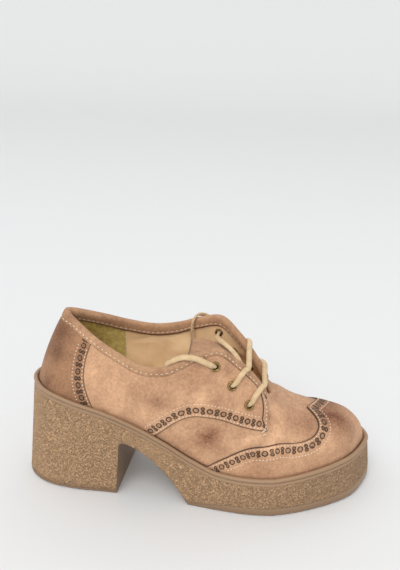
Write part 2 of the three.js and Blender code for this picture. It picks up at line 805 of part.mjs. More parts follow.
// Routes of the stretches that no bar covers, placed by hand: under the facings over the tongue,
// and each free end from its top eyelet over the collar's edge and down inside the shoe. Shares of
// rimLength, ballWidth and instepHeight over the platform.
const diagonalRoute = [
  { along: 0.5311, across: 0.218, height: 0.8556 },
  { along: 0.5438, across: 0.161, height: 0.8511 },
  { along: 0.5598, across: 0.102, height: 0.8467 },
  { along: 0.5757, across: 0.048, height: 0.8356 },
  { along: 0.5908, across: -0.003, height: 0.8111 },
  { along: 0.6032, across: -0.054, height: 0.7756 },
  { along: 0.6135, across: -0.103, height: 0.7311 },
  { along: 0.6215, across: -0.149, height: 0.6822 },
  { along: 0.6263, across: -0.189, height: 0.6333 },
  { along: 0.6287, across: -0.222, height: 0.5867 },
];
const lateralEndRoute = [
  { along: 0.5351, across: -0.355, height: 0.8767 },
  { along: 0.5131, across: -0.351, height: 0.9167 },
  { along: 0.4972, across: -0.353, height: 0.9378 },
  { along: 0.4813, across: -0.359, height: 0.9533 },
  { along: 0.4681, across: -0.359, height: 0.9567 },
  { along: 0.4542, across: -0.348, height: 0.9511 },
  { along: 0.4378, across: -0.333, height: 0.9289 },
  { along: 0.4211, across: -0.319, height: 0.8944 },
  { along: 0.4072, across: -0.31, height: 0.8622 },
  { along: 0.404, across: -0.305, height: 0.8178 },
  { along: 0.4024, across: -0.304, height: 0.7733 },
  { along: 0.4032, across: -0.305, height: 0.7267 },
  { along: 0.4044, across: -0.306, height: 0.6778 },
];
const medialEndRoute = [
  { along: 0.539, across: 0.355, height: 0.8822 },
  { along: 0.5291, across: 0.368, height: 0.9178 },
  { along: 0.5155, across: 0.373, height: 0.9444 },
  { along: 0.5004, across: 0.372, height: 0.9667 },
  { along: 0.4861, across: 0.36, height: 0.9889 },
  { along: 0.4733, across: 0.338, height: 1 },
  { along: 0.4637, across: 0.309, height: 0.9922 },
  { along: 0.4574, across: 0.282, height: 0.9667 },
  { along: 0.455, across: 0.274, height: 0.9244 },
  { along: 0.455, across: 0.273, height: 0.8778 },
  { along: 0.4562, across: 0.275, height: 0.8311 },
  { along: 0.4582, across: 0.277, height: 0.7844 },
  { along: 0.4598, across: 0.278, height: 0.7378 },
  { along: 0.4614, across: 0.28, height: 0.6911 },
];

function routePoints(route) {
  return route.map((row) => new THREE.Vector3(
    row.along * rimLength,
    row.across * ballWidth,
    platformHeight + row.height * instepHeight,
  ));
}

const shoe = new THREE.Group();

function add(name, geometry, colour, roughness, metalness) {
  const material = new THREE.MeshStandardMaterial({ color: colour, roughness, metalness });
  const mesh = new THREE.Mesh(geometry, material);
  mesh.name = name;
  shoe.add(mesh);
  return mesh;
}

const sideNames = [['lateral', -1], ['medial', 1]];
const drills = {};
for (const [name, side] of sideNames) {
  drills[name] = eyeletPlaces.map((spot) => eyeletDrill(eyeletFrame(spot, side)));
}

add('sole_unit', makeSole(), soleColour, 0.8, 0);
add('insole', makeInsole(), liningColour, 0.5, 0);
add('upper', cut(makeWall(-wall, 0), [...drills.lateral, ...drills.medial]), leatherColour, 0.9, 0);
add('tongue', makeTongue(), leatherColour, 0.9, 0);
add('toe_cap', makeOverlay(overlayThickness, {
  acrossSteps: 28, upSteps: 10, toPlace: capPatch, folded: true,
}), leatherColour, 0.9, 0);
add('heel_counter', makeOverlay(counterThickness, {
  acrossSteps: 8, upSteps: 4, toPlace: counterPatch, folded: false,
}), leatherColour, 0.9, 0);
for (const [name] of sideNames) {
  const toPlace = name === 'lateral' ? quarterPatch : mirroredPatch;
  const quarter = makeOverlay(overlayThickness, {
    acrossSteps: 14, upSteps: 4, toPlace, folded: false,
  });
  add(`quarter_${name}`, cut(quarter, drills[name]), leatherColour, 0.9, 0);
}
add('collar_binding', makeBinding(), leatherColour, 0.9, 0);
for (const [name, side] of sideNames) {
  eyeletPlaces.forEach((spot, index) => {
    const frame = eyeletFrame(spot, side);
    const eyelet = add(`eyelet_${name}_${index + 1}`, makeEyelet(), brassColour, 0.4, 1);
    eyelet.position.copy(frame.centre);
    eyelet.quaternion.copy(frame.turn);
  });
}
add('lace_bar_middle', makeLace(barRoute(eyeletPlaces[1]), barSteps), laceColour, 0.8, 0);
add('lace_bar_lower', makeLace(barRoute(eyeletPlaces[2]), barSteps), laceColour, 0.8, 0);
add('lace_diagonal', makeLace(routePoints(diagonalRoute), barSteps), laceColour, 0.8, 0);
add('lace_end_lateral', makeLace(routePoints(lateralEndRoute), endSteps), laceColour, 0.8, 0);
add('lace_end_medial', makeLace(routePoints(medialEndRoute), endSteps), laceColour, 0.8, 0);

// The origin lies on the floor under the middle of the sole
const footprint = new THREE.Box3().setFromObject(shoe.getObjectByName('sole_unit'));
const middle = footprint.getCenter(new THREE.Vector3());
shoe.position.set(-middle.x, -middle.y, 0);

export default shoe;
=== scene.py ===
import math

import bmesh
import bpy
import numpy as np
from mathutils import Matrix


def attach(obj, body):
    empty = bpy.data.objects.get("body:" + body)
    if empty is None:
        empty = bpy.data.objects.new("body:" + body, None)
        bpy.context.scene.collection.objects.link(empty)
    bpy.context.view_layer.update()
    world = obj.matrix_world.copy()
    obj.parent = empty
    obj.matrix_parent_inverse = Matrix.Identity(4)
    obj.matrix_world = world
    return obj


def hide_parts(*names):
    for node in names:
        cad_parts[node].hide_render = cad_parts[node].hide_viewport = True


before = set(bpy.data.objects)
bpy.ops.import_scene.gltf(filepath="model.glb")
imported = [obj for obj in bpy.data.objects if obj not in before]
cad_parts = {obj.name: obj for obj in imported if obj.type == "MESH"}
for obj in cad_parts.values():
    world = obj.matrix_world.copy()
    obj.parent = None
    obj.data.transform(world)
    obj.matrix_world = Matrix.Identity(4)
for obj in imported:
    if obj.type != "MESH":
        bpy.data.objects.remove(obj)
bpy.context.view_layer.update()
scene = bpy.context.scene

# The last and the sole's rim, the same sizes as the solids
shoe = {
    "rimLength": 251, "ballWidth": 93, "heelRise": 79.5, "platform": 30, "instep": 90,
    "squareness": 2.4, "taper": 4, "inset": 5.2, "seat": 2.3, "wall": 2,
    "throat": 13, "middle": (123.885, 3.304, 0),
}

# along, lateral, medial, rise, taper, topAlong, topHalf, centre, height, rounding, swell
sections = np.array([
    (0, -0.02, 0.02, 1, -1.8, 0.104, 0, 0.02, 0.563, 0, 0.024),
    (0.016, 0.12, 0.167, 0.996, -1.6, 0.112, 0.043, 0.02, 0.556, 0, 0.024),
    (0.06, 0.26, 0.306, 0.985, -0.4, 0.139, 0.086, 0.015, 0.537, 0, 0.025),
    (0.14, 0.34, 0.355, 0.91, 0.4, 0.195, 0.183, 0.005, 0.512, 0, 0.025),
    (0.235, 0.363, 0.363, 0.785, 0.7, 0.267, 0.274, 0, 0.5, 0, 0.022),
    (0.322, 0.38, 0.355, 0.616, 0.6, 0.339, 0.355, 0, 0.532, 0, 0.02),
    (0.402, 0.4, 0.346, 0.418, 0.4, 0.41, 0.378, 0, 0.657, 0, 0.018),
    (0.474, 0.417, 0.362, 0.206, 0.1, 0.478, 0.323, 0, 0.856, 0.05, 0.02),
    (0.542, 0.437, 0.409, 0.05, -0.2, 0.542, 0.271, 0, 0.986, 0.15, 0.03),
    (0.594, 0.454, 0.459, 0.007, -0.3, 0.594, 0.217, 0, 0.898, 0.25, 0.03),
    (0.633, 0.465, 0.495, -0.003, -0.3, 0.633, 0.178, 0.005, 0.779, 0.4, 0.03),
    (0.669, 0.467, 0.52, -0.003, -0.3, 0.667, 0.143, 0.01, 0.635, 0.6, 0.025),
    (0.697, 0.463, 0.533, 0, -0.3, 0.689, 0.075, 0.02, 0.528, 0.8, 0.015),
    (0.721, 0.454, 0.538, 0.004, -0.3, 0.7, 0, 0.03, 0.48, 1, 0),
    (0.777, 0.402, 0.531, 0.02, -0.4, 0.745, 0, 0.042, 0.39, 1, 0),
    (0.833, 0.33, 0.522, 0.04, -0.5, 0.805, 0, 0.058, 0.325, 1, 0),
    (0.888, 0.24, 0.5, 0.06, -0.7, 0.834, 0, 0.072, 0.292, 0.97, 0),
    (0.94, 0.12, 0.455, 0.077, -1, 0.851, 0, 0.083, 0.268, 0.93, 0),
    (0.978, -0.035, 0.375, 0.08, -1, 0.861, 0, 0.09, 0.257, 0.88, 0),
    (1, -0.205, 0.205, 0.08, -1, 0.864, 0, 0.092, 0.254, 0.86, 0),
])
toe = len(sections) - 1
wholeTurn = 2 * toe
shoeSides = (("lateral", 1), ("medial", -1))
# By section: how much lower the lateral edge runs, in shares of the instep, and the width of the
# binding's outer fold in millimetres
lateralDip = [(0, 0), (1, 0.012), (2, 0.028), (3, 0.035), (7, 0.034), (8, 0.03), (10, 0.014), (12, 0)]
foldWidths = [(0, 7.2), (2, 4.8), (3, 4.2), (8, 3.6), (9.2, 6.6), (10, 7.2)]


def sideRows(rows, sign):
    # a table row in millimetres: shares times rim length, ball width, heel rise and instep height
    along, lateral, medial, rise, taper, topAlong, topHalf, centre, height, rounding, swell = rows.T
    width, instep = shoe["ballWidth"], shoe["instep"]
    if sign < 0:
        height = height - np.interp(np.arange(len(rows)), *zip(*lateralDip))
    return np.stack([
        along * shoe["rimLength"], (medial if sign > 0 else -lateral) * width,
        shoe["platform"] + rise * (shoe["heelRise"] - shoe["platform"]), taper * shoe["taper"],
        topAlong * shoe["rimLength"], sign * topHalf * width, centre * width, height * instep,
        rounding, swell * instep], axis=1)


# Places run from the heel back along the lateral side to the toe, and back along the medial side
ring = np.concatenate([sideRows(sections, -1), sideRows(sections[-2:0:-1], 1)])


def unit(vectors):
    return vectors / np.maximum(np.linalg.norm(vectors, axis=-1, keepdims=True), 1e-9)


def stationOf(place):
    p = np.mod(place, wholeTurn)
    return np.minimum(p, wholeTurn - p)


def cubic(a, b, c, d, t):
    # from b to c, each with half the difference of its neighbours as its slope
    start, end, gap = (c - a) / 2, (d - b) / 2, c - b
    return b + start * t + (3 * gap - 2 * start - end) * t ** 2 + (start + end - 2 * gap) * t ** 3


def sectionAt(place):
    # smooth curve through the ring's rows
    place = np.asarray(place, float)
    low = np.floor(place).astype(int)
    here = cubic(*(ring[(low + k) % len(ring)] for k in (-1, 0, 1, 2)), (place - low)[..., None])
    here[..., 5] = np.where(stationOf(place) >= shoe["throat"], 0, here[..., 5])
    return here


def outward(place):
    # level direction at right angles to the rim
    gap = sectionAt(np.asarray(place) + 0.05) - sectionAt(np.asarray(place) - 0.05)
    return unit(np.stack([gap[..., 1], -gap[..., 0], np.zeros(gap.shape[:-1])], axis=-1))


def rimAt(place, inset, drop):
    point = sectionAt(place)[..., :3] - outward(place) * np.asarray(inset)[..., None]
    point[..., 2] -= drop
    return point


def faceAt(place, up):
    # rib from the rim's foot to its top, between a straight line and a squared quarter ellipse
    place, up = np.broadcast_arrays(np.asarray(place, float), np.asarray(up, float))
    here = sectionAt(place)
    foot = rimAt(place, shoe["inset"], shoe["seat"])
    bend = 2 / shoe["squareness"]
    angle = up * math.pi / 2
    rounding = here[..., 8]
    inward = up + (1 - np.maximum(np.cos(angle), 0) ** bend - up) * rounding
    upward = up + (np.maximum(np.sin(angle), 0) ** bend - up) * rounding
    top = np.stack([here[..., 4], here[..., 6] + here[..., 5], here[..., 2] + here[..., 7]], axis=-1)
    swell = here[..., 9] * 4 * up * (1 - up)
    return foot + (top - foot) * np.stack([inward, inward, upward], axis=-1) \
        + outward(place) * swell[..., None]


def normalAt(place, up):
    # cross product of the steps along the ring and up the rib, shared by both sides at the crest
    place, up = np.broadcast_arrays(np.asarray(place, float), np.asarray(up, float))

    def oneSide(where):
        level = np.minimum(up, 0.98)
        along = faceAt(where + 0.02, level) - faceAt(where - 0.02, level)
        climb = faceAt(where, np.minimum(up + 0.02, 1)) - faceAt(where, np.maximum(up - 0.02, 0))
        return unit(np.cross(along, climb))

    own = oneSide(place)
    near = np.clip((up - 0.85) / 0.15, 0, 1) * np.clip(stationOf(place) - shoe["throat"] + 1, 0, 1)
    return unit(own + oneSide(-place) * near[..., None])


# Wear creases of the upper, each a soft trough or ridge along a short line:
# place and up of both ends, half width and height in millimetres
creases = [
    (12.15, 0.5, 12.5, 0.95, 4.0, -0.7),
    (13.2, 0.36, 12.7, 0.8, 5.0, -0.7),
    (13.9, 0.4, 13.3, 0.85, 5.0, 0.6),
    (10.6, 0.16, 11.2, 0.3, 6.0, -1.0),
    (9.6, 0.12, 9.2, 0.3, 5.0, -0.6),
    (8.1, 0.2, 8.5, 0.4, 6.0, -0.6),
    (6.9, 0.5, 7.6, 0.75, 5.0, -0.7),
    (7.6, 0.45, 8.2, 0.62, 4.0, 0.5),
    (8.7, 0.48, 9.3, 0.6, 4.0, -0.5),
    (5.2, 0.35, 5.8, 0.5, 7.0, -0.6),
    (2.2, 0.35, 2.9, 0.6, 6.0, -0.7),
    (1.2, 0.55, 1.5, 0.8, 6.0, -0.5),
    (-12.3, 0.45, -12.6, 0.9, 4.5, -0.6),
    (-13.4, 0.4, -13.0, 0.8, 5.0, 0.5),
    (-10.4, 0.2, -9.6, 0.45, 6.0, -0.8),
    (-7.2, 0.4, -7.8, 0.7, 5.0, -0.6),
    (-4.6, 0.3, -5.2, 0.6, 7.0, -0.6),
]
creaseLines = []
for place0, up0, place1, up1, width, height in creases:
    share = np.linspace(0, 1, 14)
    line = faceAt(place0 + (place1 - place0) * share, up0 + (up1 - up0) * share)
    creaseLines.append((line, width, height))


def creaseLift(point):
    # height times a bell curve of the distance to each line, added up
    lift = np.zeros(point.shape[:-1])
    for line, width, height in creaseLines:
        away = np.linalg.norm(point[..., None, :] - line, axis=-1).min(axis=-1)
        lift += height * np.exp(-(away / width) ** 2)
    return lift


# Spots of the suede, the dark ones partly painted shade and partly soiling, the pale ones rubbed: place, up,
# radius in millimetres, share (below 0 is paler)
shadeAndWearSpots = [
    (7.6, 0.24, 8, 0.75), (8.3, 0.17, 6, 0.35), (14.65, 0.67, 8, 0.6), (14.0, 0.62, 6, 0.3),
    (13.0, 0.42, 7, -0.45), (11.75, 0.83, 2.6, 0.6), (11.95, 0.66, 2.6, 0.5), (16.9, 0.85, 13, 0.8),
    (-16.2, 0.65, 12, 0.7), (-15.9, 0.78, 4, 0.4), (17.6, 0.5, 8, 0.3), (1.75, 0.55, 7, 0.55),
    (1.2, 0.8, 8, 0.6), (1.7, 0.1, 7, 0.45), (0.2, 0.5, 9, 0.4), (5.7, 0.57, 6, 0.6),
    (6.4, 0.58, 7, 0.35), (8.55, 0.86, 3.5, 0.5), (8.2, 0.6, 3, 0.3), (4.3, 0.3, 8, -0.35),
    (5.2, 0.3, 6, -0.3), (6.6, 0.6, 7, -0.4), (10.6, 0.35, 7, -0.5), (12.2, 0.3, 6, -0.45),
    (12.5, 0.75, 5, -0.3), (15.9, 0.35, 9, -0.2), (11.4, 0.08, 10, 0.3), (7.35, 0.6, 6, -0.4),
    (7.9, 0.3, 5, 0.4), (9.6, 0.3, 6, -0.3), (3.4, 0.6, 5, -0.25), (-8.6, 0.7, 9, 0.3),
    (-11.5, 0.5, 8, 0.4), (-14.0, 0.5, 9, 0.35), (-5.5, 0.4, 9, 0.35), (-2.0, 0.5, 8, 0.4),
]


def shadeAndWearAt(point):
    # painted shade and wear at each point: share times a bell curve of the distance to each spot, added up
    shadeAndWear = np.zeros(len(point))
    for place, up, radius, share in shadeAndWearSpots:
        shadeAndWear += share * np.exp(-(np.linalg.norm(point - faceAt(place, up), axis=1) / radius) ** 2)
    return shadeAndWear


def skin(place, up, offset=0.0):
    # a point of the upper's creased outer face, moved out along the normal
    point = faceAt(place, up)
    lift = offset + creaseLift(point)
    return point + normalAt(place, up) * lift[..., None]


def ribLength(place):
    return np.linalg.norm(faceAt(place, 1) - faceAt(place, 0), axis=-1)


def smoothAt(table, at):
    # smooth curve through a short table of key and value
    keys, values = np.array(table, float).T
    gap = np.diff(keys)
    rise = np.diff(values) / gap
    slope = np.concatenate([rise[:1], (rise[1:] + rise[:-1]) / 2, rise[-1:]])
    at = np.asarray(at, float)
    i = np.clip(np.searchsorted(keys, at) - 1, 0, len(gap) - 1)
    t = np.clip((at - keys[i]) / gap[i], 0, 1)
    width = gap[i]
    return (values[i] * (1 + 2 * t) * (1 - t) ** 2 + values[i + 1] * t * t * (3 - 2 * t)
            + width * slope[i] * t * (1 - t) ** 2 + width * slope[i + 1] * t * t * (t - 1))


def flowPath(points, spacing):
    # cubic through given points, resampled evenly by length
    points = np.asarray(points, float)
    rows = np.concatenate([2 * points[:1] - points[1:2], points, 2 * points[-1:] - points[-2:-1]])
    at = np.linspace(0, len(points) - 1, 40 * (len(points) - 1) + 1)
    low = np.minimum(np.floor(at).astype(int), len(points) - 2)
    return evenly(cubic(*(rows[low + k] for k in (0, 1, 2, 3)), (at - low)[:, None]), spacing)


def lengthsAlong(path):
    return np.concatenate([[0], np.cumsum(np.linalg.norm(np.diff(path, axis=0), axis=1))])


def evenly(path, spacing):
    reach = lengthsAlong(path[:, :3])
    count = max(int(round(reach[-1] / spacing)), 2)
    at = np.linspace(0, reach[-1], count + 1)
    return np.stack([np.interp(at, reach, path[:, k]) for k in range(path.shape[1])], axis=1)


def shifted(place, up, move):
    # place and up after a small step over the face, solved from its two slopes
    high, below = np.minimum(up + 0.01, 1), np.maximum(up - 0.01, 0)
    alongStep = (faceAt(place + 0.01, up) - faceAt(place - 0.01, up)) / 0.02
    upStep = (faceAt(place, high) - faceAt(place, below)) / (high - below)[:, None]
    aa, bb, ab = (alongStep ** 2).sum(1), (upStep ** 2).sum(1), (alongStep * upStep).sum(1)
    am, bm = (alongStep * move).sum(1), (upStep * move).sum(1)
    det = aa * bb - ab * ab
    return place + (am * bb - bm * ab) / det, np.clip(up + (bm * aa - am * ab) / det, 0, 1)


def faired(place, up, width=5.0, spacing=0.4):
    # an edge over the face, evened out by a bell-shaped average along its own length
    fine = evenly(np.concatenate([faceAt(place, up), place[:, None], up[:, None]], axis=1), spacing)
    reach = int(3 * width / spacing)
    weights = np.exp(-(np.arange(-reach, reach + 1) * spacing / width) ** 2)
    padded = np.pad(fine[:, :3], ((reach, reach), (0, 0)), mode="reflect", reflect_type="odd")
    weights /= weights.sum()
    target = np.stack([np.convolve(padded[:, k], weights, "valid") for k in range(3)], axis=1)
    place, up = fine[:, 3], fine[:, 4]
    for _ in range(4):
        place, up = shifted(place, up, target - faceAt(place, up))
    up[0], up[-1] = fine[0, 4], fine[-1, 4]
    return place, up


def metres(points):
    return (np.asarray(points, float).reshape(-1, 3) - shoe["middle"]) / 1000


def gridFaces(rows, columns, closed=False, flip=False, start=0):
    # quads of a grid of points, closed round its columns where asked
    steps = columns if closed else columns - 1
    k, j = np.meshgrid(np.arange(rows - 1), np.arange(steps), indexing="ij")
    k, j = k.ravel(), j.ravel()
    ahead = (j + 1) % columns
    quads = np.stack([k * columns + j, k * columns + ahead,
                      (k + 1) * columns + ahead, (k + 1) * columns + j], axis=1) + start
    return quads[:, ::-1] if flip else quads


def strip(first, second):
    # quads between two rows of points
    return np.stack([first[:-1], second[:-1], second[1:], first[1:]], axis=1)


def sheetFaces(rows, columns, flip=False, openTop=False):
    # two grids back to back, the second one after the first, joined round their edges
    layer = rows * columns
    start, low = np.arange(rows) * columns, np.arange(columns)
    end, high = start + columns - 1, low + layer - columns
    rims = [strip(start, start + layer), strip(end + layer, end), strip(low + layer, low)]
    if not openTop:
        rims.append(strip(high, high + layer))
    rims = np.concatenate(rims)
    return np.concatenate([gridFaces(rows, columns, flip=flip),
                           gridFaces(rows, columns, flip=not flip, start=layer),
                           rims[:, ::-1] if flip else rims])


def tubeFaces(rows, columns, flip=False):
    # a tube of rings, each end fanned to one of the two points that follow the last ring
    faces = gridFaces(rows, columns, closed=True, flip=flip).tolist()
    size, j = rows * columns, np.arange(columns)
    ahead = (j + 1) % columns
    for centre, first, second in ((size, ahead, j), (size + 1, size - columns + j, size - columns + ahead)):
        fan = np.stack([np.full(columns, centre), first, second], axis=1)
        faces += (fan[:, [0, 2, 1]] if flip else fan).tolist()
    return faces


def addPiece(name, points, faces, materials, uv=None, kinds=None, nodes=(), weld=0.002):
    # points in millimetres; uv goes to each corner, kinds picks each face's material
    mesh = bpy.data.meshes.new(name)
    mesh.from_pydata(metres(points).tolist(), [], [list(face) for face in faces])
    piece = bpy.data.objects.new(name, mesh)
    scene.collection.objects.link(piece)
    for finish in materials:
        mesh.materials.append(finish)
    if uv is not None:
        corners = np.empty(len(mesh.loops), int)
        mesh.loops.foreach_get("vertex_index", corners)
        layer = mesh.uv_layers.new(name="edge")
        layer.data.foreach_set("uv", np.asarray(uv, float)[corners].ravel())
        # second uv layer: the spots of painted shade and wear, in its first share
        shadeAndWear = mesh.uv_layers.new(name="shadeAndWear")
        tones = shadeAndWearAt(np.asarray(points, float).reshape(-1, 3))[corners]
        shadeAndWear.data.foreach_set("uv", np.stack([tones, tones * 0], axis=1).ravel())
    if kinds is not None:
        mesh.polygons.foreach_set("material_index", np.asarray(kinds, int))
    mesh.polygons.foreach_set("use_smooth", np.ones(len(mesh.polygons), bool))
    if weld:
        joinDoubles(mesh, weld / 1000)
    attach(piece, "root")
    if nodes:
        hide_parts(*nodes)
    return piece


def joinDoubles(mesh, distance):
    work = bmesh.new()
    work.from_mesh(mesh)
    bmesh.ops.remove_doubles(work, verts=work.verts, dist=distance)
    bmesh.ops.dissolve_degenerate(work, edges=work.edges, dist=distance / 4)
    work.to_mesh(mesh)
    work.free()


def settle(piece):
    # the piece's modifiers become its mesh
    graph = bpy.context.evaluated_depsgraph_get()
    made = bpy.data.meshes.new_from_object(piece.evaluated_get(graph), depsgraph=graph)
    piece.modifiers.clear()
    piece.data = made


def cutAway(piece, points, faces):
    # what lies within a closed cutter is taken out of the piece
    mesh = bpy.data.meshes.new("cutter")
    mesh.from_pydata(metres(points).tolist(), [], [list(face) for face in faces])
    cutter = bpy.data.objects.new("cutter", mesh)
    scene.collection.objects.link(cutter)
    change = piece.modifiers.new("cut", "BOOLEAN")
    change.operation, change.solver, change.object = "DIFFERENCE", "EXACT", cutter
    settle(piece)
    bpy.data.objects.remove(cutter)
    bpy.data.meshes.remove(mesh)


def cylinders(centres, axes, radius, length, sides=24):
    # closed round bars about each centre, for drilling
    points, faces = [], []
    turn = np.linspace(0, 2 * np.pi, sides, endpoint=False)
    for centre, axis in zip(centres, axes):
        across = unit(np.cross(axis, (0.3, 0.1, 0.9)))
        other = np.cross(axis, across)
        circle = radius * (np.cos(turn)[:, None] * across + np.sin(turn)[:, None] * other)
        first = sum(len(p) for p in points)
        points += [centre + circle - axis * length / 2, centre + circle + axis * length / 2]
        faces += gridFaces(2, sides, closed=True, start=first).tolist()
        faces += [list(range(first + sides - 1, first - 1, -1)),
                  list(range(first + sides, first + 2 * sides))]
    return np.concatenate(points), faces


print("shapes of the last ready")

# Camera at the photograph's angle, matched on the sole's rim, eyelets and collar
view = {
    "yaw": 4.29, "pitch": 20.88, "roll": 1.54, "pivot": (124, 0, 50),
    "place": (0.36, 98.59, 519.27), "focal": 700, "frameHeight": 570,
}
yaw, pitch, roll = (math.radians(view[key]) for key in ("yaw", "pitch", "roll"))
right = np.array((math.cos(yaw), math.sin(yaw), 0))
look = np.array((-math.sin(yaw) * math.cos(pitch), math.cos(yaw) * math.cos(pitch), -math.sin(pitch)))
down = np.cross(look, right)
turned = np.array([
    right * math.cos(roll) - down * math.sin(roll), right * math.sin(roll) + down * math.cos(roll), look])
eye = np.array(view["pivot"]) - turned.T @ np.array(view["place"])
lens = bpy.data.cameras.new("camera")
lens.sensor_width = 36
lens.lens = 36 * view["focal"] / view["frameHeight"]
lens.clip_start, lens.clip_end = 0.02, 30
camera = bpy.data.objects.new("camera", lens)
axes = np.stack([turned[0], -turned[1], -turned[2]], axis=1)
camera.matrix_world = Matrix.Translation(metres(eye)[0]) @ Matrix(axes.tolist()).to_4x4()
scene.collection.objects.link(camera)
scene.camera = camera
print("camera ready")


# Small helpers for shader nodes
def plug(tree, value, socket):
    if isinstance(value, bpy.types.NodeSocket):
        tree.links.new(value, socket)
    elif value is not None:
        socket.default_value = value


def calc(tree, operation, *values):
    made = tree.nodes.new("ShaderNodeMath")
    made.operation = operation
    for socket, value in zip(made.inputs, values):
        plug(tree, value, socket)
    return made.outputs[0]


def vectorCalc(tree, operation, *values):
    made = tree.nodes.new("ShaderNodeVectorMath")
    made.operation = operation
    for socket, value in zip(made.inputs, values):
        plug(tree, value, socket)
    return made.outputs["Value"] if operation in ("DISTANCE", "LENGTH") else made.outputs[0]


def ramp(tree, value, low, high, first=0.0, last=1.0):
    made = tree.nodes.new("ShaderNodeMapRange")
    made.interpolation_type = "SMOOTHSTEP"
    for name, item in zip(("Value", "From Min", "From Max", "To Min", "To Max"),
                          (value, low, high, first, last)):
        plug(tree, item, made.inputs[name])
    return made.outputs[0]


def mixColour(tree, share, first, second, clamped=True):
    made = tree.nodes.new("ShaderNodeMix")
    made.data_type, made.clamp_factor = "RGBA", clamped
    plug(tree, share, made.inputs[0])
    plug(tree, first, made.inputs[6])
    plug(tree, second, made.inputs[7])
    return made.outputs[2]


def noise(tree, vector, scale, detail=2.0, roughness=0.5, distortion=0.0, output=0):
    # output 0 is the value, 1 the colour
    made = tree.nodes.new("ShaderNodeTexNoise")
    for name, item in (("Vector", vector), ("Scale", scale), ("Detail", detail),
                       ("Roughness", roughness), ("Distortion", distortion)):
        plug(tree, item, made.inputs[name])
    return made.outputs[output]


def bump(tree, height, distance, strength):
    made = tree.nodes.new("ShaderNodeBump")
    plug(tree, height, made.inputs["Height"])
    plug(tree, distance, made.inputs["Distance"])
    plug(tree, strength, made.inputs["Strength"])
    return made.outputs[0]


def split(tree, vector):
    made = tree.nodes.new("ShaderNodeSeparateXYZ")
    plug(tree, vector, made.inputs[0])
    return made.outputs


def objectPoint(tree):
    return tree.nodes.new("ShaderNodeTexCoord").outputs["Object"]


def edgePoint(tree, layer="edge"):
    made = tree.nodes.new("ShaderNodeUVMap")
    made.uv_map = layer
    return made.outputs[0], *split(tree, made.outputs[0])[:2]


def placeGroup(tree, group, **values):
    made = tree.nodes.new("ShaderNodeGroup")
    made.node_tree = group
    for name, item in values.items():
        plug(tree, item, made.inputs[name])
    return made.outputs


def newGroup(name, inputs, outputs):
    group = bpy.data.node_groups.new(name, "ShaderNodeTree")
    for key, kind in inputs.items():
        group.interface.new_socket(name=key, in_out="INPUT", socket_type="NodeSocket" + kind)
    for key, kind in outputs.items():
        group.interface.new_socket(name=key, in_out="OUTPUT", socket_type="NodeSocket" + kind)
    given = group.nodes.new("NodeGroupInput").outputs
    out = group.nodes.new("NodeGroupOutput").inputs
    return group, given, out


def newMaterial(name, roughness=0.8, **constants):
    made = bpy.data.materials.new(name)
    made.use_nodes = True
    tree = made.node_tree
    shader = tree.nodes["Principled BSDF"]
    shader.inputs["Roughness"].default_value = roughness
    for key, value in constants.items():
        shader.inputs[key].default_value = value
    return made, tree, shader.inputs


# Suede: soft blotches a few centimetres wide, smaller rubbed marks, and the nap's own grain, less the given
# spots of painted shade and wear
def makeNapGroup():
    group, given, out = newGroup(
        "suedeNap", {"Point": "Vector", "Wear": "Float", "Pale": "Color", "Deep": "Color"},
        {"Colour": "Color", "Height": "Float"})
    point = given["Point"]
    large = ramp(group, noise(group, point, 26, 3, 0.55, 0.3), 0.36, 0.64)
    small = ramp(group, noise(group, point, 95, 4, 0.6, 0.8), 0.3, 0.7)
    grain = noise(group, point, 1000, 3, 0.75)
    stretched = vectorCalc(group, "MULTIPLY", point, (700.0, 700.0, 2100.0))
    fibres = noise(group, stretched, 1, 2, 0.6, 0.4)
    specks = ramp(group, noise(group, point, 520, 3, 0.65, 0.5), 0.3, 0.7)
    share = calc(group, "MULTIPLY_ADD", large, 0.26, calc(group, "MULTIPLY", small, 0.26))
    share = calc(group, "MULTIPLY_ADD", grain, 0.7, calc(group, "MULTIPLY_ADD", specks, 0.36, share))
    share = calc(group, "SUBTRACT", share, 0.2)
    ragged = calc(group, "MULTIPLY_ADD", small, 0.7, 0.65)
    # the spots of painted shade and wear darken the colour, raggedly, and pale it below 0
    share = calc(group, "SUBTRACT", share, calc(group, "MULTIPLY", given["Wear"], ragged))
    plug(group, mixColour(group, share, given["Deep"], given["Pale"], clamped=False), out["Colour"])
    plug(group, calc(group, "ADD", grain, fibres), out["Height"])
    return group


# Punched ornament along an edge, all in dark brown: one large ring, then a pair of small ones,
# each with its place along the edge, away from it, and its radius
brogue = {
    "period": 8.75, "rings": [(2.2, 4.9, 1.65), (6.6, 3.6, 0.98), (6.6, 6.2, 0.98)],
    # cut sets the width of the painted shade along an edge, in millimetres
    "line": 0.62, "cut": 0.5, "stray": 1.1, "grain": 900,
}


def makeBrogueGroup():
    group, given, out = newGroup(
        "brogueRow", {"Edge": "Vector", "Grain": "Vector"}, {"Ink": "Float", "Pit": "Float"})
    stray = vectorCalc(group, "SUBTRACT", given["Grain"], (0.5, 0.5, 0.5))
    stray = vectorCalc(group, "MULTIPLY", stray, (brogue["stray"], brogue["stray"], 0))
    along, away = split(group, vectorCalc(group, "ADD", given["Edge"], stray))[:2]
    spot = group.nodes.new("ShaderNodeCombineXYZ")
    plug(group, calc(group, "FLOORED_MODULO", along, brogue["period"]), spot.inputs[0])
    plug(group, away, spot.inputs[1])
    ink = pit = 0.0
    for x, y, radius in brogue["rings"]:
        away = vectorCalc(group, "DISTANCE", spot.outputs[0], (x, y, 0))
        line = calc(group, "ABSOLUTE", calc(group, "SUBTRACT", away, radius))
        line = ramp(group, line, brogue["line"] * 0.35, brogue["line"], 1, 0)
        hollow = ramp(group, away, radius * 0.3, radius * 0.9, 0.8 - radius / 4, 0)
        ink, pit = calc(group, "MAXIMUM", ink, line), calc(group, "MAXIMUM", pit, hollow)
    plug(group, calc(group, "MAXIMUM", ink, pit), out["Ink"])
    plug(group, ink, out["Pit"])
    return group
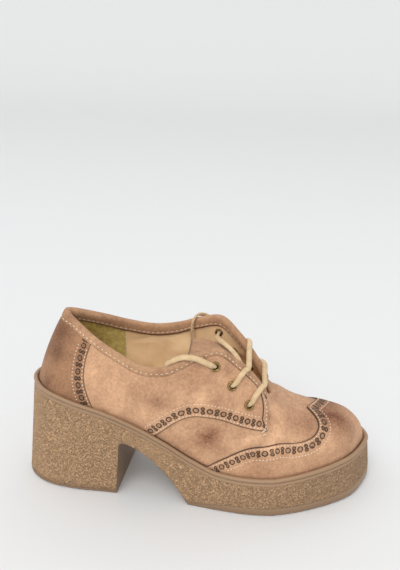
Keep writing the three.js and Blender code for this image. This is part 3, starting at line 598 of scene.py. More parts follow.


# Crepe rubber: worm-like bumps a millimetre or so wide, with painted shade in the pits
def makeCrepeGroup():
    group, given, out = newGroup(
        "crepeGrain", {"Point": "Vector"}, {"Height": "Float", "PitShade": "Float", "Tone": "Float"})
    point = given["Point"]
    worm = noise(group, point, 820, 2, 0.5, 1.2)
    ridge = calc(group, "ABSOLUTE", calc(group, "SUBTRACT", worm, 0.5))
    height = ramp(group, ridge, 0.0, 0.08)
    crumbs = noise(group, point, 1900, 2, 0.6, 0.8)
    plug(group, calc(group, "ADD", height, calc(group, "MULTIPLY", crumbs, 0.6)), out["Height"])
    valley = calc(group, "MULTIPLY_ADD", crumbs, 0.04, ridge)
    # mask for the painted shade in the pits
    plug(group, ramp(group, valley, 0.022, 0.06, 1, 0), out["PitShade"])
    plug(group, noise(group, point, 22, 3, 0.5), out["Tone"])
    return group


napGroup, brogueGroup, crepeGroup = makeNapGroup(), makeBrogueGroup(), makeCrepeGroup()

suedeTones = {
    "vamp": ((0.72, 0.435, 0.258, 1), (0.36, 0.188, 0.107, 1)),
    "panel": ((0.70, 0.415, 0.245, 1), (0.35, 0.182, 0.103, 1)),
    "counter": ((0.44, 0.238, 0.13, 1), (0.21, 0.103, 0.056, 1)),
    "binding": ((0.57, 0.335, 0.19, 1), (0.27, 0.14, 0.078, 1)),
    # ink is the ornament's dark brown, also used for the painted shade along the edges
    "ink": (0.045, 0.026, 0.016, 1),
}


def makeSuede(name, pale, deep, ornament=False, edgeShade=False):
    # nap with spots of painted shade and wear all over; along an edge a dark line of painted shade where the
    # piece lies on the one below, and the punched ornament
    made, tree, inputs = newMaterial(name, 0.95, **{
        "Sheen Weight": 0.12, "Sheen Roughness": 0.5, "Specular IOR Level": 0.15})
    point = objectPoint(tree)
    wornAndShaded = edgePoint(tree, "shadeAndWear")[1]
    nap = placeGroup(tree, napGroup, Point=point, Wear=wornAndShaded, Pale=pale, Deep=deep)
    colour, height = nap["Colour"], calc(tree, "MULTIPLY", nap["Height"], 0.5)
    if edgeShade:
        edge, away = edgePoint(tree)[::2]
        # painted shade: a dark line along the edge, where the piece lies on the one below
        ink = ramp(tree, away, brogue["cut"] * 0.5, brogue["cut"] * 1.8, 1, 0)
        if ornament:
            grain = noise(tree, point, brogue["grain"], output=1)
            row = placeGroup(tree, brogueGroup, Edge=edge, Grain=grain)
            fade = ramp(tree, noise(tree, point, 160, 2), 0.25, 0.5, 0.8, 1)
            ink = calc(tree, "MAXIMUM", ink, calc(tree, "MULTIPLY", row["Ink"], fade))
            height = calc(tree, "SUBTRACT", height, calc(tree, "MULTIPLY", row["Pit"], 1.5))
        # the edge's painted shade and the ornament both darken the colour towards ink
        colour = mixColour(tree, calc(tree, "MULTIPLY", ink, 0.93), colour, suedeTones["ink"])
    plug(tree, colour, inputs["Base Color"])
    plug(tree, bump(tree, height, 0.0004, 0.9), inputs["Normal"])
    return made


def makeSoleRubber():
    # crepe where the uv's first share is 1, smooth bands elsewhere, painted shade in the crepe's pits,
    # darker low down and towards the toe
    made, tree, inputs = newMaterial("soleRubber", 0.62, **{"Specular IOR Level": 0.45})
    point = objectPoint(tree)
    share, height = edgePoint(tree)[1:]
    crepe = placeGroup(tree, crepeGroup, Point=point)
    ragged = calc(tree, "SUBTRACT", noise(tree, point, 260, 2), 0.5)
    mask = ramp(tree, calc(tree, "MULTIPLY_ADD", ragged, 0.5, share), 0.3, 0.7)
    # the crepe darker towards the toe
    front = ramp(tree, split(tree, point)[0], -0.03, 0.13, 0, 0.28)
    smooth = mixColour(tree, crepe["Tone"], (0.31, 0.19, 0.105, 1), (0.41, 0.26, 0.152, 1))
    rough = mixColour(tree, crepe["Tone"], (0.58, 0.35, 0.185, 1), (0.73, 0.455, 0.25, 1))
    rough = mixColour(tree, front, rough, (0.22, 0.13, 0.08, 1))
    # painted shade in the crepe's pits
    pitShade = calc(tree, "MULTIPLY", crepe["PitShade"], 0.75)
    pitShaded = mixColour(tree, pitShade, rough, (0.19, 0.105, 0.052, 1))
    # darker towards the floor
    darkerLow = ramp(tree, height, 1.0, 8.0, 0.45, 0)
    colour = mixColour(tree, darkerLow, mixColour(tree, mask, smooth, pitShaded), (0.15, 0.09, 0.055, 1))
    plug(tree, colour, inputs["Base Color"])
    plug(tree, calc(tree, "MULTIPLY_ADD", mask, 0.38, 0.42), inputs["Roughness"])
    relief = calc(tree, "MULTIPLY", crepe["Height"], calc(tree, "MULTIPLY_ADD", mask, 0.9, 0.05))
    plug(tree, bump(tree, relief, 0.0009, 1.0), inputs["Normal"])
    return made


def makeLining():
    # glossy tan leather, with the olive heel piece behind a soft straight edge
    made, tree, inputs = newMaterial("lining", 0.42, **{
        "Specular IOR Level": 0.5, "Coat Weight": 0.35, "Coat Roughness": 0.28})
    point = objectPoint(tree)
    heel = ramp(tree, split(tree, point)[0], -0.0603, -0.0597, 1, 0)
    cloud = ramp(tree, noise(tree, point, 45, 3, 0.5, 0.4), 0.35, 0.65)
    tan = mixColour(tree, cloud, (0.80, 0.54, 0.30, 1), (0.92, 0.66, 0.39, 1))
    olive = mixColour(tree, ramp(tree, noise(tree, point, 300, 4, 0.6), 0.3, 0.7),
                      (0.46, 0.345, 0.10, 1), (0.66, 0.53, 0.185, 1))
    plug(tree, mixColour(tree, heel, tan, olive), inputs["Base Color"])
    plug(tree, calc(tree, "MULTIPLY_ADD", heel, 0.4, 0.4), inputs["Roughness"])
    grain = noise(tree, point, 1100, 2, 0.5)
    folds = noise(tree, point, 34, 1.5, 0.5, 0.8)
    height = calc(tree, "ADD", calc(tree, "MULTIPLY", grain, 0.05), calc(tree, "MULTIPLY", folds, 7.0))
    plug(tree, bump(tree, height, 0.0012, 0.8), inputs["Normal"])
    return made


def makeBrass():
    made, tree, inputs = newMaterial("antiqueBrass", 0.35, **{"Metallic": 1.0})
    point = objectPoint(tree)
    tarnish = ramp(tree, noise(tree, point, 700, 3, 0.6), 0.35, 0.7)
    colour = mixColour(tree, tarnish, (0.42, 0.29, 0.11, 1), (0.16, 0.105, 0.045, 1))
    plug(tree, colour, inputs["Base Color"])
    plug(tree, calc(tree, "MULTIPLY_ADD", tarnish, 0.25, 0.3), inputs["Roughness"])
    return made


def makeLaceFinish():
    # fine lengthwise ribs across the flat cord, with faint cross weave
    made, tree, inputs = newMaterial("laceCotton", 0.8, **{
        "Sheen Weight": 0.2, "Specular IOR Level": 0.25})
    along, around = edgePoint(tree)[1:]
    rib = calc(tree, "SINE", calc(tree, "MULTIPLY", around, 2 * math.pi * 18))
    weave = calc(tree, "SINE", calc(tree, "MULTIPLY", along, 2 * math.pi / 0.9))
    height = calc(tree, "MULTIPLY_ADD", weave, 0.25, rib)
    tone = ramp(tree, noise(tree, objectPoint(tree), 240, 3), 0.3, 0.7)
    colour = mixColour(tree, tone, (0.74, 0.52, 0.285, 1), (0.86, 0.645, 0.385, 1))
    shade = ramp(tree, height, -1.2, 0.2, 0.42, 0)
    plug(tree, mixColour(tree, shade, colour, (0.36, 0.215, 0.11, 1)), inputs["Base Color"])
    plug(tree, bump(tree, height, 0.00012, 0.8), inputs["Normal"])
    return made


def makeThread():
    made, tree, inputs = newMaterial("thread", 0.7)
    tone = noise(tree, objectPoint(tree), 500, 2)
    plug(tree, mixColour(tree, tone, (0.72, 0.56, 0.40, 1), (0.95, 0.84, 0.69, 1)), inputs["Base Color"])
    return made


vampSuede = makeSuede("vampSuede", *suedeTones["vamp"])
panelSuede = makeSuede("panelSuede", *suedeTones["panel"], ornament=True, edgeShade=True)
counterSuede = makeSuede("counterSuede", *suedeTones["counter"], ornament=True, edgeShade=True)
bindingSuede = makeSuede("bindingSuede", *suedeTones["binding"], edgeShade=True)
facingSuede = makeSuede("facingSuede", *suedeTones["panel"], edgeShade=True)
tongueSuede = makeSuede("tongueSuede", *suedeTones["binding"])
soleRubber, lining, brass = makeSoleRubber(), makeLining(), makeBrass()
laceFinish, thread = makeLaceFinish(), makeThread()
print("materials ready")

# Eyelets from the top down: place, up on the lateral and the medial side, and the place where its
# bar crosses the facing's edge
eyelet = {
    "spots": [(7.91, 0.866, 0.84, 8.6), (8.78, 0.748, 0.735, 9.6), (9.98, 0.648, 0.635, 10.9)],
    "drill": 2.4, "drillLength": 12, "sides": 32,
}
eyeletCentre, eyeletAxis = {}, {}
for side, sign in shoeSides:
    for number, (place, lateralUp, medialUp, edge) in enumerate(eyelet["spots"], 1):
        up = lateralUp if sign > 0 else medialUp
        eyeletCentre[side, number] = skin(sign * place, up)
        eyeletAxis[side, number] = normalAt(sign * place, up)

# Lace: a flat cord run through the eyelets, and its two free ends inside the collar
lace = {
    "width": 4.0, "thickness": 1.9, "sides": 20, "step": 0.8, "squeeze": 4.5, "bluntness": 0.8,
    "endDome": 0.5, "lineBelow": 25, "rimOut": 2.6, "rimOver": 2.9, "inHole": 0.6,
    "underHole": -2.4, "underFacing": -4.6, "barOffsets": (2.6, 2.95, 3.0), "barBow": 0.6,
    "lateralEnd": [
        (134.3, -33.0, 108.9), (128.8, -32.6, 112.5), (124.8, -32.8, 114.4), (120.8, -33.4, 115.8),
        (117.5, -33.4, 116.1), (114.0, -32.4, 115.6), (109.9, -31, 113.6), (105.7, -29.7, 110.5),
        (102.2, -28.8, 107.6), (101.4, -28.4, 103.6), (101, -28.3, 99.6), (101.2, -28.4, 95.4),
        (101.5, -28.5, 91)],
    "medialEnd": [
        (135.3, 33, 109.4), (132.8, 34.2, 112.6), (129.4, 34.7, 115), (125.6, 34.6, 117),
        (122, 33.5, 119), (118.8, 31.4, 120), (116.4, 28.7, 119.3), (114.8, 26.2, 117),
        (114.2, 25.5, 113.2), (114.2, 25.4, 109), (114.5, 25.6, 104.8), (115, 25.8, 100.6),
        (115.4, 25.9, 96.4), (115.8, 26, 92.2)],
    "diagonal": [
        (133.3, 20.3, 107), (136.5, 15, 106.6), (140.5, 9.5, 106.2), (144.5, 4.5, 105.2),
        (148.3, -0.3, 103), (151.4, -5, 99.8), (154, -9.6, 95.8), (156, -13.9, 91.4), (157.2, -17.6, 87),
        (157.8, -20.6, 82.8)],
}


def ribbon(path, squeezeAt=None):
    # blunt oval profile carried along the path; its flat side faces away from a line along the shoe
    # a little below the cord, and turns towards it as little as it can; squeezed in the eyelets
    ahead = unit(np.gradient(path, axis=0))
    across = np.empty_like(ahead)
    start = np.cross((0, path[0][1], lace["lineBelow"]), ahead[0])
    across[0] = unit(start - ahead[0] * (start @ ahead[0]))
    for k in range(1, len(path)):
        target = np.cross((0, path[k][1], lace["lineBelow"]), ahead[k])
        target *= np.sign(target @ across[k - 1]) or 1
        pull = 0.15 * min(np.linalg.norm(target) / 40, 1) ** 2
        kept = across[k - 1] * (1 - pull) + unit(target) * pull
        across[k] = unit(kept - ahead[k] * (kept @ ahead[k]))
    outer = np.cross(ahead, across)
    wide = np.full(len(path), lace["width"] / 2)
    thick = np.full(len(path), lace["thickness"] / 2)
    if squeezeAt is not None:
        near = np.linalg.norm(path[:, None] - squeezeAt[None], axis=2).min(axis=1)
        share = np.exp(-(near / lace["squeeze"]) ** 2)
        wide, thick = wide * (1 - 0.3 * share), thick * (1 + 0.45 * share)
    turn = np.linspace(0, 2 * np.pi, lace["sides"], endpoint=False)
    flat, tall = (np.sign(f) * np.abs(f) ** lace["bluntness"] for f in (np.cos(turn), np.sin(turn)))
    points = path[:, None] + across[:, None] * (wide[:, None] * flat)[..., None] \
        + outer[:, None] * (thick[:, None] * tall)[..., None]
    ends = [path[0] - ahead[0] * lace["endDome"], path[-1] + ahead[-1] * lace["endDome"]]
    reach = lengthsAlong(path)
    uv = np.stack([np.repeat(reach, len(turn)), np.tile(turn / (2 * np.pi), len(path))], axis=1)
    uv = np.concatenate([uv, [(0, 0), (reach[-1], 0)]])
    return np.concatenate([points.reshape(-1, 3), ends]), tubeFaces(len(path), len(turn)), uv


def through(side, number, *heights):
    # points on an eyelet's axis, at these heights over the upper's outer face
    return [eyeletCentre[side, number] + eyeletAxis[side, number] * height for height in heights]


def insideLink(side, low, high):
    # straight stretch under a facing from one eyelet up to the next
    (first,), (last,) = (through(side, number, lace["underFacing"]) for number in (low, high))
    return [first + (last - first) * share for share in (0.3, 0.7)]


def barOver(number):
    # over both facings from the near eyelet to the far one, bowed up a little between the edges
    place, lateralUp, medialUp, edge = eyelet["spots"][number - 1]
    halves = []
    for sign, up in ((1, lateralUp), (-1, medialUp)):
        places = sign * np.array([place * 0.6 + edge * 0.4, place * 0.25 + edge * 0.75, edge])
        ups = np.array([up + (1 - up) * 0.4, up + (1 - up) * 0.78, 1])
        halves.append(skin(places, ups, np.array(lace["barOffsets"])))
    near, far = halves
    middle = (near[2] + far[2]) / 2 + (0, 0, lace["barBow"])
    return [*near, middle, *far[::-1]]


def overRim(side, number, toward):
    # point where the lace bends over an eyelet's rim on its way to the next point
    centre, axis = eyeletCentre[side, number], eyeletAxis[side, number]
    way = np.array(toward) - centre
    return centre + unit(way - axis * (way @ axis)) * lace["rimOut"] + axis * lace["rimOver"]


holes = np.array([eyeletCentre[key] for key in sorted(eyeletCentre)])
for side in ("lateral", "medial"):
    name, node = f"{side}End", f"lace_end_{side}"
    path = flowPath([overRim(side, 1, lace[name][1]), *lace[name][1:]], lace["step"])
    points, faces, uv = ribbon(path)
    piece = addPiece(node, points, faces, [laceFinish], uv=uv, nodes=(node,), weld=0)

into = (lace["inHole"], lace["underHole"])
outOf = into[::-1]
lowBar, middleBar = barOver(3), barOver(2)[::-1]
run = [overRim("medial", 1, lace["medialEnd"][1]), *through("medial", 1, *into), *lace["diagonal"],
       *through("lateral", 3, *outOf), overRim("lateral", 3, lowBar[0]), *lowBar,
       overRim("medial", 3, lowBar[-1]), *through("medial", 3, *into), *insideLink("medial", 3, 2),
       *through("medial", 2, *outOf), overRim("medial", 2, middleBar[0]), *middleBar,
       overRim("lateral", 2, middleBar[-1]), *through("lateral", 2, *into),
       *insideLink("lateral", 2, 1), *through("lateral", 1, *outOf),
       overRim("lateral", 1, lace["lateralEnd"][1])]
points, faces, uv = ribbon(flowPath(run, lace["step"]), holes)
addPiece("lace_run", points, faces, [laceFinish], uv=uv, weld=0,
         nodes=("lace_bar_middle", "lace_bar_lower", "lace_diagonal"))
print("lace ready")

# Moulded sole: rings from the floor up to the seat inside the bead
sole = {
    "step": 0.5, "toeSpring": 2.5, "springStart": 0.84, "wallRows": 24,
    "firstLug": 4, "lugPitch": 10.5, "lugGroove": 5.4, "lugDepth": 1.2,
    "treadTop": [(0, 2.8), (7, 2.8), (9, 6.2)], "bandFoot": [(0, 5.9), (8, 5.9), (12, 5.5)],
    "breast": 65.5, "lean": 3, "archHeight": 45.8, "fillet": 5, "archEnd": 120, "bellyAlong": 0.58,
    "belly": 37, "skew": 4.5, "pivot": -32.5,
}
floorRows = [(2.3, 0), (1.7, 0.25), (1.3, 0.8), (1.15, 1.5)]  # inset, height over the floor
beadRows = [  # inset, drop under the rim
    (0.8, 4.9), (0.85, 4.2), (1.1, 3.7), (1.6, 3.3), (1.85, 3.0), (1.25, 2.75), (0.6, 2.5),
    (0.2, 2.1), (0.0, 1.5), (0.05, 0.95), (0.3, 0.5),
    (0.8, 0.15), (1.6, 0.0), (2.4, 0.25), (3.0, 0.9), (3.2, 2.6),
]


def springAt(x):
    share = np.maximum(x / shoe["rimLength"] - sole["springStart"], 0) / (1 - sole["springStart"])
    return sole["toeSpring"] * share ** 2


def soleRing(place, inset, kind, value):
    # offset of the rim; the wall steps in towards the floor by the section's taper
    here = sectionAt(place)
    if kind == "drop":
        return rimAt(place, inset + value / here[..., 2] * here[..., 3], value)
    point = rimAt(place, inset + here[..., 3] * (1 - value / here[..., 2]), 0)
    point[..., 2] = value + springAt(point[..., 0])
    return point


def makeSoleUnit():
    # rings by height up to the tread band, even steps up the crepe wall, then the bead's rings;
    # the floor and the seat are bridged straight across
    places = np.linspace(0, wholeTurn, 8 * wholeTurn, endpoint=False)
    treadTop, bandFoot = (np.interp(stationOf(places), *zip(*sole[key])) for key in ("treadTop", "bandFoot"))
    rings = [soleRing(places, inset, "height", height) for inset, height in floorRows]
    rings.append(soleRing(places, 1.05, "height", treadTop - 0.5))
    rings.append(soleRing(places, 0.85, "height", treadTop + 0.5))
    low, top = rings[-1], soleRing(places, 0.6, "drop", bandFoot + 0.5)
    rings += [low + (top - low) * k / sole["wallRows"] for k in range(1, sole["wallRows"] + 1)]
    rings += [soleRing(places, inset, "drop", drop) for inset, drop in beadRows]
    crepeShare = np.zeros(len(rings))
    crepeShare[len(floorRows) + 1:-len(beadRows)] = 1
    count, points = len(places), np.concatenate(rings)
    faces = gridFaces(len(rings), count, closed=True).tolist()
    for j in range(count // 2):
        across = [(count - j) % count, count - j - 1, j + 1, j]
        seat = [len(points) - count + k for k in across[::-1]]
        faces += [list(dict.fromkeys(across)), list(dict.fromkeys(seat))]
    uv = np.stack([np.repeat(crepeShare, count), points[:, 2]], axis=1)
    return addPiece("sole_unit_body", points, faces, [soleRubber], uv=uv,
                    nodes=("sole_unit",), weld=0)


def acrossPrism(outline, skew=0.0):
    # upright outline in length and height, run across the shoe and turned a little
    outline = np.asarray(outline, float)
    reach = shoe["ballWidth"]
    points = np.concatenate([np.insert(outline, 1, y, axis=1) for y in (-reach, reach)])
    turn = math.radians(-skew)
    x, y = points[:, 0] - sole["breast"], points[:, 1] - sole["pivot"]
    points[:, 0] = x * math.cos(turn) - y * math.sin(turn) + sole["breast"]
    points[:, 1] = x * math.sin(turn) + y * math.cos(turn) + sole["pivot"]
    n = len(outline)
    faces = [[k, (k + 1) % n, n + (k + 1) % n, n + k] for k in range(n)]
    return points, faces + [list(range(n - 1, -1, -1)), list(range(n, 2 * n))]


def bowed(a, b, c, steps):
    # quadratic curve from the first point to the third, drawn towards the second
    t = np.linspace(0, 1, steps + 1)[:, None]
    return (np.array(a) * (1 - t) ** 2 + 2 * np.array(b) * t * (1 - t) + np.array(c) * t ** 2).tolist()


def archOutline():
    # up the heel's breast, round its corner, and down the belly to the platform
    x, z, fillet = sole["breast"] + sole["lean"], sole["archHeight"], sole["fillet"]
    bellyX = x + (sole["archEnd"] - x) * sole["bellyAlong"]
    bend = (x + fillet, z - sole["step"])
    corner = bowed((x, z - fillet), (x, z), bend, 8)
    belly = bowed(bend, (bellyX, sole["belly"]), (sole["archEnd"], 0), 24)
    return [(sole["breast"], -5), *corner, *belly[1:], (sole["archEnd"], -5)]


def lugGrooves():
    # half ellipses across the tread at each pitch, clear of the arch
    points, faces = [], []
    wide, deep = sole["lugGroove"], sole["lugDepth"]
    for x in np.arange(sole["firstLug"], shoe["rimLength"], sole["lugPitch"]):
        if sole["breast"] - sole["lugPitch"] < x < sole["archEnd"] + sole["lugPitch"]:
            continue
        height = deep + springAt(x)
        outline = [(x + wide / 2 * t, height * (1 - t * t) ** 0.5 - (deep if abs(t) == 1 else 0))
                   for t in np.linspace(-1, 1, 9)]
        more, moreFaces = acrossPrism(outline)
        faces += [[k + len(points) for k in face] for face in moreFaces]
        points += more.tolist()
    return points, faces


soleUnit = makeSoleUnit()
cutAway(soleUnit, *acrossPrism(archOutline(), sole["skew"]))
cutAway(soleUnit, *lugGrooves())
print("sole ready")

# Insole bed: a sheet over and one under, joined by a rounded edge down each side
insole = {"crown": 0.6, "across": 16}
bedStations = np.linspace(0, toe, 8 * toe + 1)
share = np.linspace(0, 1, insole["across"] + 1)
layers = []
for drop, inset, crown in ((-0.7, 9.0, insole["crown"]), (2.3, 7.75, 0), (-0.2, 8.2, 0)):
    lateral, medial = rimAt(bedStations, inset, drop), rimAt(-bedStations, inset, drop)
    sheet = lateral[:, None] + (medial - lateral)[:, None] * share[None, :, None]
    sheet[..., 2] += crown * (1 - (2 * share - 1) ** 2)
    layers.append(sheet)
over, under, edge = layers
rows, columns = over.shape[:2]
size, first = rows * columns, np.arange(rows) * columns
last, edgeFirst = first + columns - 1, 2 * size + np.arange(rows)
edgeLast = edgeFirst + rows
points = np.concatenate([over.reshape(-1, 3), under.reshape(-1, 3), edge[:, 0], edge[:, -1]])
faces = np.concatenate([
    gridFaces(rows, columns), gridFaces(rows, columns, flip=True, start=size),
    strip(edgeFirst, first), strip(first + size, edgeFirst),
    strip(last, edgeLast), strip(edgeLast, last + size)])
addPiece("insole_bed", points, faces.tolist(), [lining], nodes=("insole",), weld=0.01)

# Upper: one hollow wall, suede outside and lining inside
def makeUpper(columns=8, rows=44):
    # outer and inner face of the wall, closed at the foot and round the opening's brim
    place = np.linspace(0, wholeTurn, columns * wholeTurn, endpoint=False)
    at, height = np.meshgrid(place, np.linspace(0, 1, rows + 1))
    points = np.concatenate([skin(at, height, offset).reshape(-1, 3) for offset in (0, -shoe["wall"])])
    n = len(place)
    layer, last = (rows + 1) * n, rows * n
    outside = gridFaces(rows + 1, n, closed=True)
    inside = gridFaces(rows + 1, n, closed=True, flip=True, start=layer)
    j = np.arange(n)
    ahead = (j + 1) % n
    foot = np.stack([j, layer + j, layer + ahead, ahead], axis=1)
    brim = np.stack([last + j, last + ahead, layer + last + ahead, layer + last + j], axis=1)
    brim = brim[stationOf(place + 0.5 / columns) < shoe["throat"]]
    faces = np.concatenate([outside, brim, inside, foot])
    kinds = np.repeat([0, 1], [len(outside) + len(brim), len(inside) + len(foot)])
    return addPiece("upper_shell", points, faces.tolist(), [vampSuede, lining], kinds=kinds,
                    uv=points[:, :2], nodes=("upper",), weld=0.01)


def drill(piece, keys):
    # the eyelets' holes go through the piece
    bars = cylinders([eyeletCentre[key] for key in keys], [eyeletAxis[key] for key in keys],
                     eyelet["drill"], eyelet["drillLength"])
    cutAway(piece, *bars)


drill(makeUpper(), sorted(eyeletCentre))
print("upper ready")

# Overlays: edge tables of the panels, smooth between rows of place and up (quarterLow), or of up
# and place (the others)
panel = {
    "offset": 1.2, "counterOffset": 1.5, "under": 0.1, "facing": 5.0, "facingOffset": 1.75,
    "tuck": 0.6, "lap": 0.12, "edgeRadius": 0.35, "edgeReach": 1.2,
    "quarterLow": [(5.6, 0), (6, 0.2), (6.3, 0.313), (6.6, 0.385), (7, 0.427), (8.4, 0.426),
                   (10, 0.427), (11.7, 0.475)],
    "quarterFront": [(0, 11.7), (0.5, 11.65), (0.8, 11.4), (1, 11)],
    "cap": [(0, 7.65), (0.1, 8.3), (0.2, 9.4), (0.27, 10.5), (0.33, 12.6), (0.38, 14.1),
            (0.46, 14.9), (0.6, 15.35), (0.72, 15.45), (0.86, 15.3), (1, 14.95)],
    "counter": [(0, 3.66), (0.2, 3.42), (0.4, 3.2), (0.7, 3.04), (1, 3.04)],
}


def foldWidth(place):
    return np.interp(stationOf(place), *zip(*foldWidths))


def panelTop(place):
    # the panels end under the binding's fold
    return 1 - (foldWidth(place) - panel["tuck"]) / ribLength(place)


# Faired edges, each as places and ups from its lower end, on the lateral side and the medial one
fineUp = np.linspace(0, 1, 500)
counterPlaces = smoothAt(panel["counter"], fineUp)
counterEdge = faired(counterPlaces, panelTop(counterPlaces) * fineUp)
lowPlaces = np.linspace(panel["quarterLow"][0][0], panel["quarterLow"][-1][0], 600)
quarterEdge = faired(lowPlaces, np.maximum(smoothAt(panel["quarterLow"], lowPlaces), 0))
capEdges = {sign: faired(sign * smoothAt(panel["cap"], fineUp), fineUp) for sign in (1, -1)}


def counterPlace(across, up):
    top = panelTop(np.interp(up, fineUp, counterPlaces))
    reach = np.interp(top * up, counterEdge[1], counterEdge[0])
    place = -reach + 2 * reach * across
    return place, panelTop(place) * up


def quarterFrontAt(up):
    place = smoothAt(panel["quarterFront"], up)
    low = np.interp(place, quarterEdge[0], quarterEdge[1])
    return place, low + (panelTop(place) - low) * up


def quarterPlace(across, up):
    back = smoothAt(panel["counter"], up) - panel["lap"]
    place = back + (smoothAt(panel["quarterFront"], up) - back) * across
    low = np.interp(place, *quarterEdge, left=0)
    return place, low + (panelTop(place) - low) * up


def capPlace(across, up):
    lateral = np.interp(up, *capEdges[1][::-1])
    medial = np.interp(up, *capEdges[-1][::-1]) + wholeTurn
    return lateral + (medial - lateral) * across, up


def facingPlace(across, up):
    # the folded edge runs on down the quarter's front, narrowing to its point
    place, height = quarterFrontAt(up)
    wide = panel["facing"] * (0.25 + 0.75 * np.clip(up / 0.25, 0, 1))
    perPlace = np.linalg.norm(faceAt(place - 0.5, height) - faceAt(place + 0.5, height), axis=-1)
    inner = place - wide / perPlace
    return inner + (place - inner) * across, height


def finely(count, near=(0.004, 0.01, 0.022)):
    # shares from 0 to 1, close together at both ends
    inner = np.linspace(0.05, 0.95, count)
    return np.concatenate([[0], near, inner, 1 - np.array(near)[::-1], [1]])


def edgeUv(points, edge):
    # length along the edge at its nearest point plus the slide past that, and the distance away
    reach = lengthsAlong(edge)
    padded = np.pad(edge, ((1, 1), (0, 0)), mode="edge")
    ahead = unit(padded[2:] - padded[:-2])
    found = []
    for start in range(0, len(points), 2000):
        part = points[start:start + 2000]
        gap = np.linalg.norm(part[:, None] - edge[None], axis=2)
        nearest = gap.argmin(axis=1)
        slide = ((part - edge[nearest]) * ahead[nearest]).sum(axis=1)
        away = np.sqrt(np.maximum(gap.min(axis=1) ** 2 - slide ** 2, 0))
        found.append(np.stack([reach[nearest] + slide, away], axis=1))
    return np.concatenate(found)


def shellPiece(name, toPlace, shares, offset, edges, node, finish, mirrored=False, crested=False):
    # closed thin shell: outer face with rounded edges over an inner face just off the upper;
    # a crested one meets itself along the crest, where it stays open
    s, t = np.meshgrid(*shares)
    place, up = toPlace(s, t)
    place = -place if mirrored else place
    sideGap = np.minimum(s, 1 - s)
    if crested:
        edgeGap = np.minimum(sideGap * 180, t * 100)
    else:
        edgeGap = np.minimum(sideGap, np.minimum(t, 1 - t)) * 100
    rounding = panel["edgeRadius"] * (1 - np.clip(edgeGap / panel["edgeReach"], 0, 1)) ** 2
    outer = skin(place, up, offset - rounding).reshape(-1, 3)
    inner = skin(place, up, panel["under"]).reshape(-1, 3)
    return addPiece(name, np.concatenate([outer, inner]),
                    sheetFaces(*s.shape, flip=mirrored, openTop=crested).tolist(), [finish],
                    uv=np.tile(edgeUv(outer, edges), (2, 1)), nodes=(node,), weld=0.01)


def edgeLine(edge, sign, offset):
    place, up = edge
    return evenly(skin(sign * place, up, offset), 0.5)


counterLines = [edgeLine(counterEdge, sign, panel["counterOffset"]) for side, sign in shoeSides]
shellPiece("heel_counter_panel", counterPlace, (finely(70), finely(40)), panel["counterOffset"],
           np.concatenate(counterLines), "heel_counter", counterSuede)
foldLine = facingPlace(0.0, np.linspace(0, 1, 200))
for side, sign in shoeSides:
    piece = shellPiece(f"quarter_{side}_panel", quarterPlace, (finely(110), finely(34)), panel["offset"],
                       edgeLine(quarterEdge, sign, panel["offset"]), f"quarter_{side}", panelSuede,
                       mirrored=sign < 0)
    drill(piece, [(side, number) for number in (1, 2, 3)])
    shellPiece(f"facing_{side}_fold", facingPlace, (finely(10, (0.06,)), finely(40)),
               panel["facingOffset"], edgeLine(foldLine, sign, panel["facingOffset"]),
               f"quarter_{side}", facingSuede, mirrored=sign < 0)
capLines = [skin(*capEdges[1], panel["offset"]), skin(*capEdges[-1], panel["offset"])[::-1]]
capShares = (finely(190, (0.0015, 0.004, 0.01)), np.concatenate([[0, 0.006], np.linspace(0.02, 1, 70)]))
shellPiece("toe_cap_panel", capPlace, capShares, panel["offset"],
           evenly(np.concatenate(capLines), 0.5), "toe_cap", panelSuede, crested=True)
print("panels ready")

# Binding folded over the collar and facings
binding = {
    "width": 7.2, "end": 11.6, "fade": 0.5, "columns": 300, "outside": 0.05, "inside": -2.1,
    "seamShare": {"outer": 1, "over": 7, "inner": 0.45},
}
bindingProfile = [  # distance down from the edge and height over the outer face; height and rise for over
    ("outer", 7.2, 0.05), ("outer", 7.25, 0.8), ("outer", 7.0, 1.35), ("outer", 6.4, 1.55),
    ("outer", 5.7, 1.5), ("outer", 5.0, 1.3), ("outer", 4.2, 1.5), ("outer", 3.0, 1.7),
    ("outer", 1.8, 1.8), ("outer", 0.6, 1.7),
    ("over", 1.5, 0.6), ("over", 0.9, 1.2), ("over", 0.0, 1.6), ("over", -1.0, 1.75),
    ("over", -2.0, 1.65), ("over", -2.9, 1.3), ("over", -3.5, 0.6),
    ("inner", 0.6, -3.8), ("inner", 1.8, -3.9), ("inner", 3.0, -3.85), ("inner", 4.0, -3.75),
    ("inner", 4.8, -3.5), ("inner", 5.6, -3.75), ("inner", 6.4, -3.8), ("inner", 7.0, -3.5),
    ("inner", 7.2, -2.9), ("inner", 7.2, -2.1), ("inner", 3.0, -2.1), ("inner", 0.3, -2.1),
    ("outer", 0.3, 0.05), ("outer", 3.0, 0.05),
]


def bindingRing(place):
    # the folded profile at each place, measured along the rib and off the face, thinner at its ends
    length = ribLength(place)
    climb = unit(skin(place, 1.0) - skin(place, 1 - 3 / length))
    left = np.clip((binding["end"] - np.abs(place)) / binding["fade"], 0, 1)
    full = 0.15 + 0.85 * np.sin(left * math.pi / 2)
    outerShare = foldWidth(place) / binding["width"]
    ring = []
    for kind, first, second in bindingProfile:
        base = binding["inside" if kind == "inner" or first < -1 else "outside"]
        if kind == "over":
            ring.append(skin(place, 1.0, base + (first - base) * full) + climb * (second * full)[:, None])
        else:
            reach = first * (outerShare if kind == "outer" else 1)
            ring.append(skin(place, 1 - reach / length, base + (second - base) * full))
    return np.stack(ring, axis=1)


body = bindingRing(np.linspace(-binding["end"], binding["end"], binding["columns"]))
rows, columns = body.shape[:2]
points = np.concatenate([body.reshape(-1, 3), body[[0, -1]].mean(axis=1)])
reach = lengthsAlong(body[:, 12])
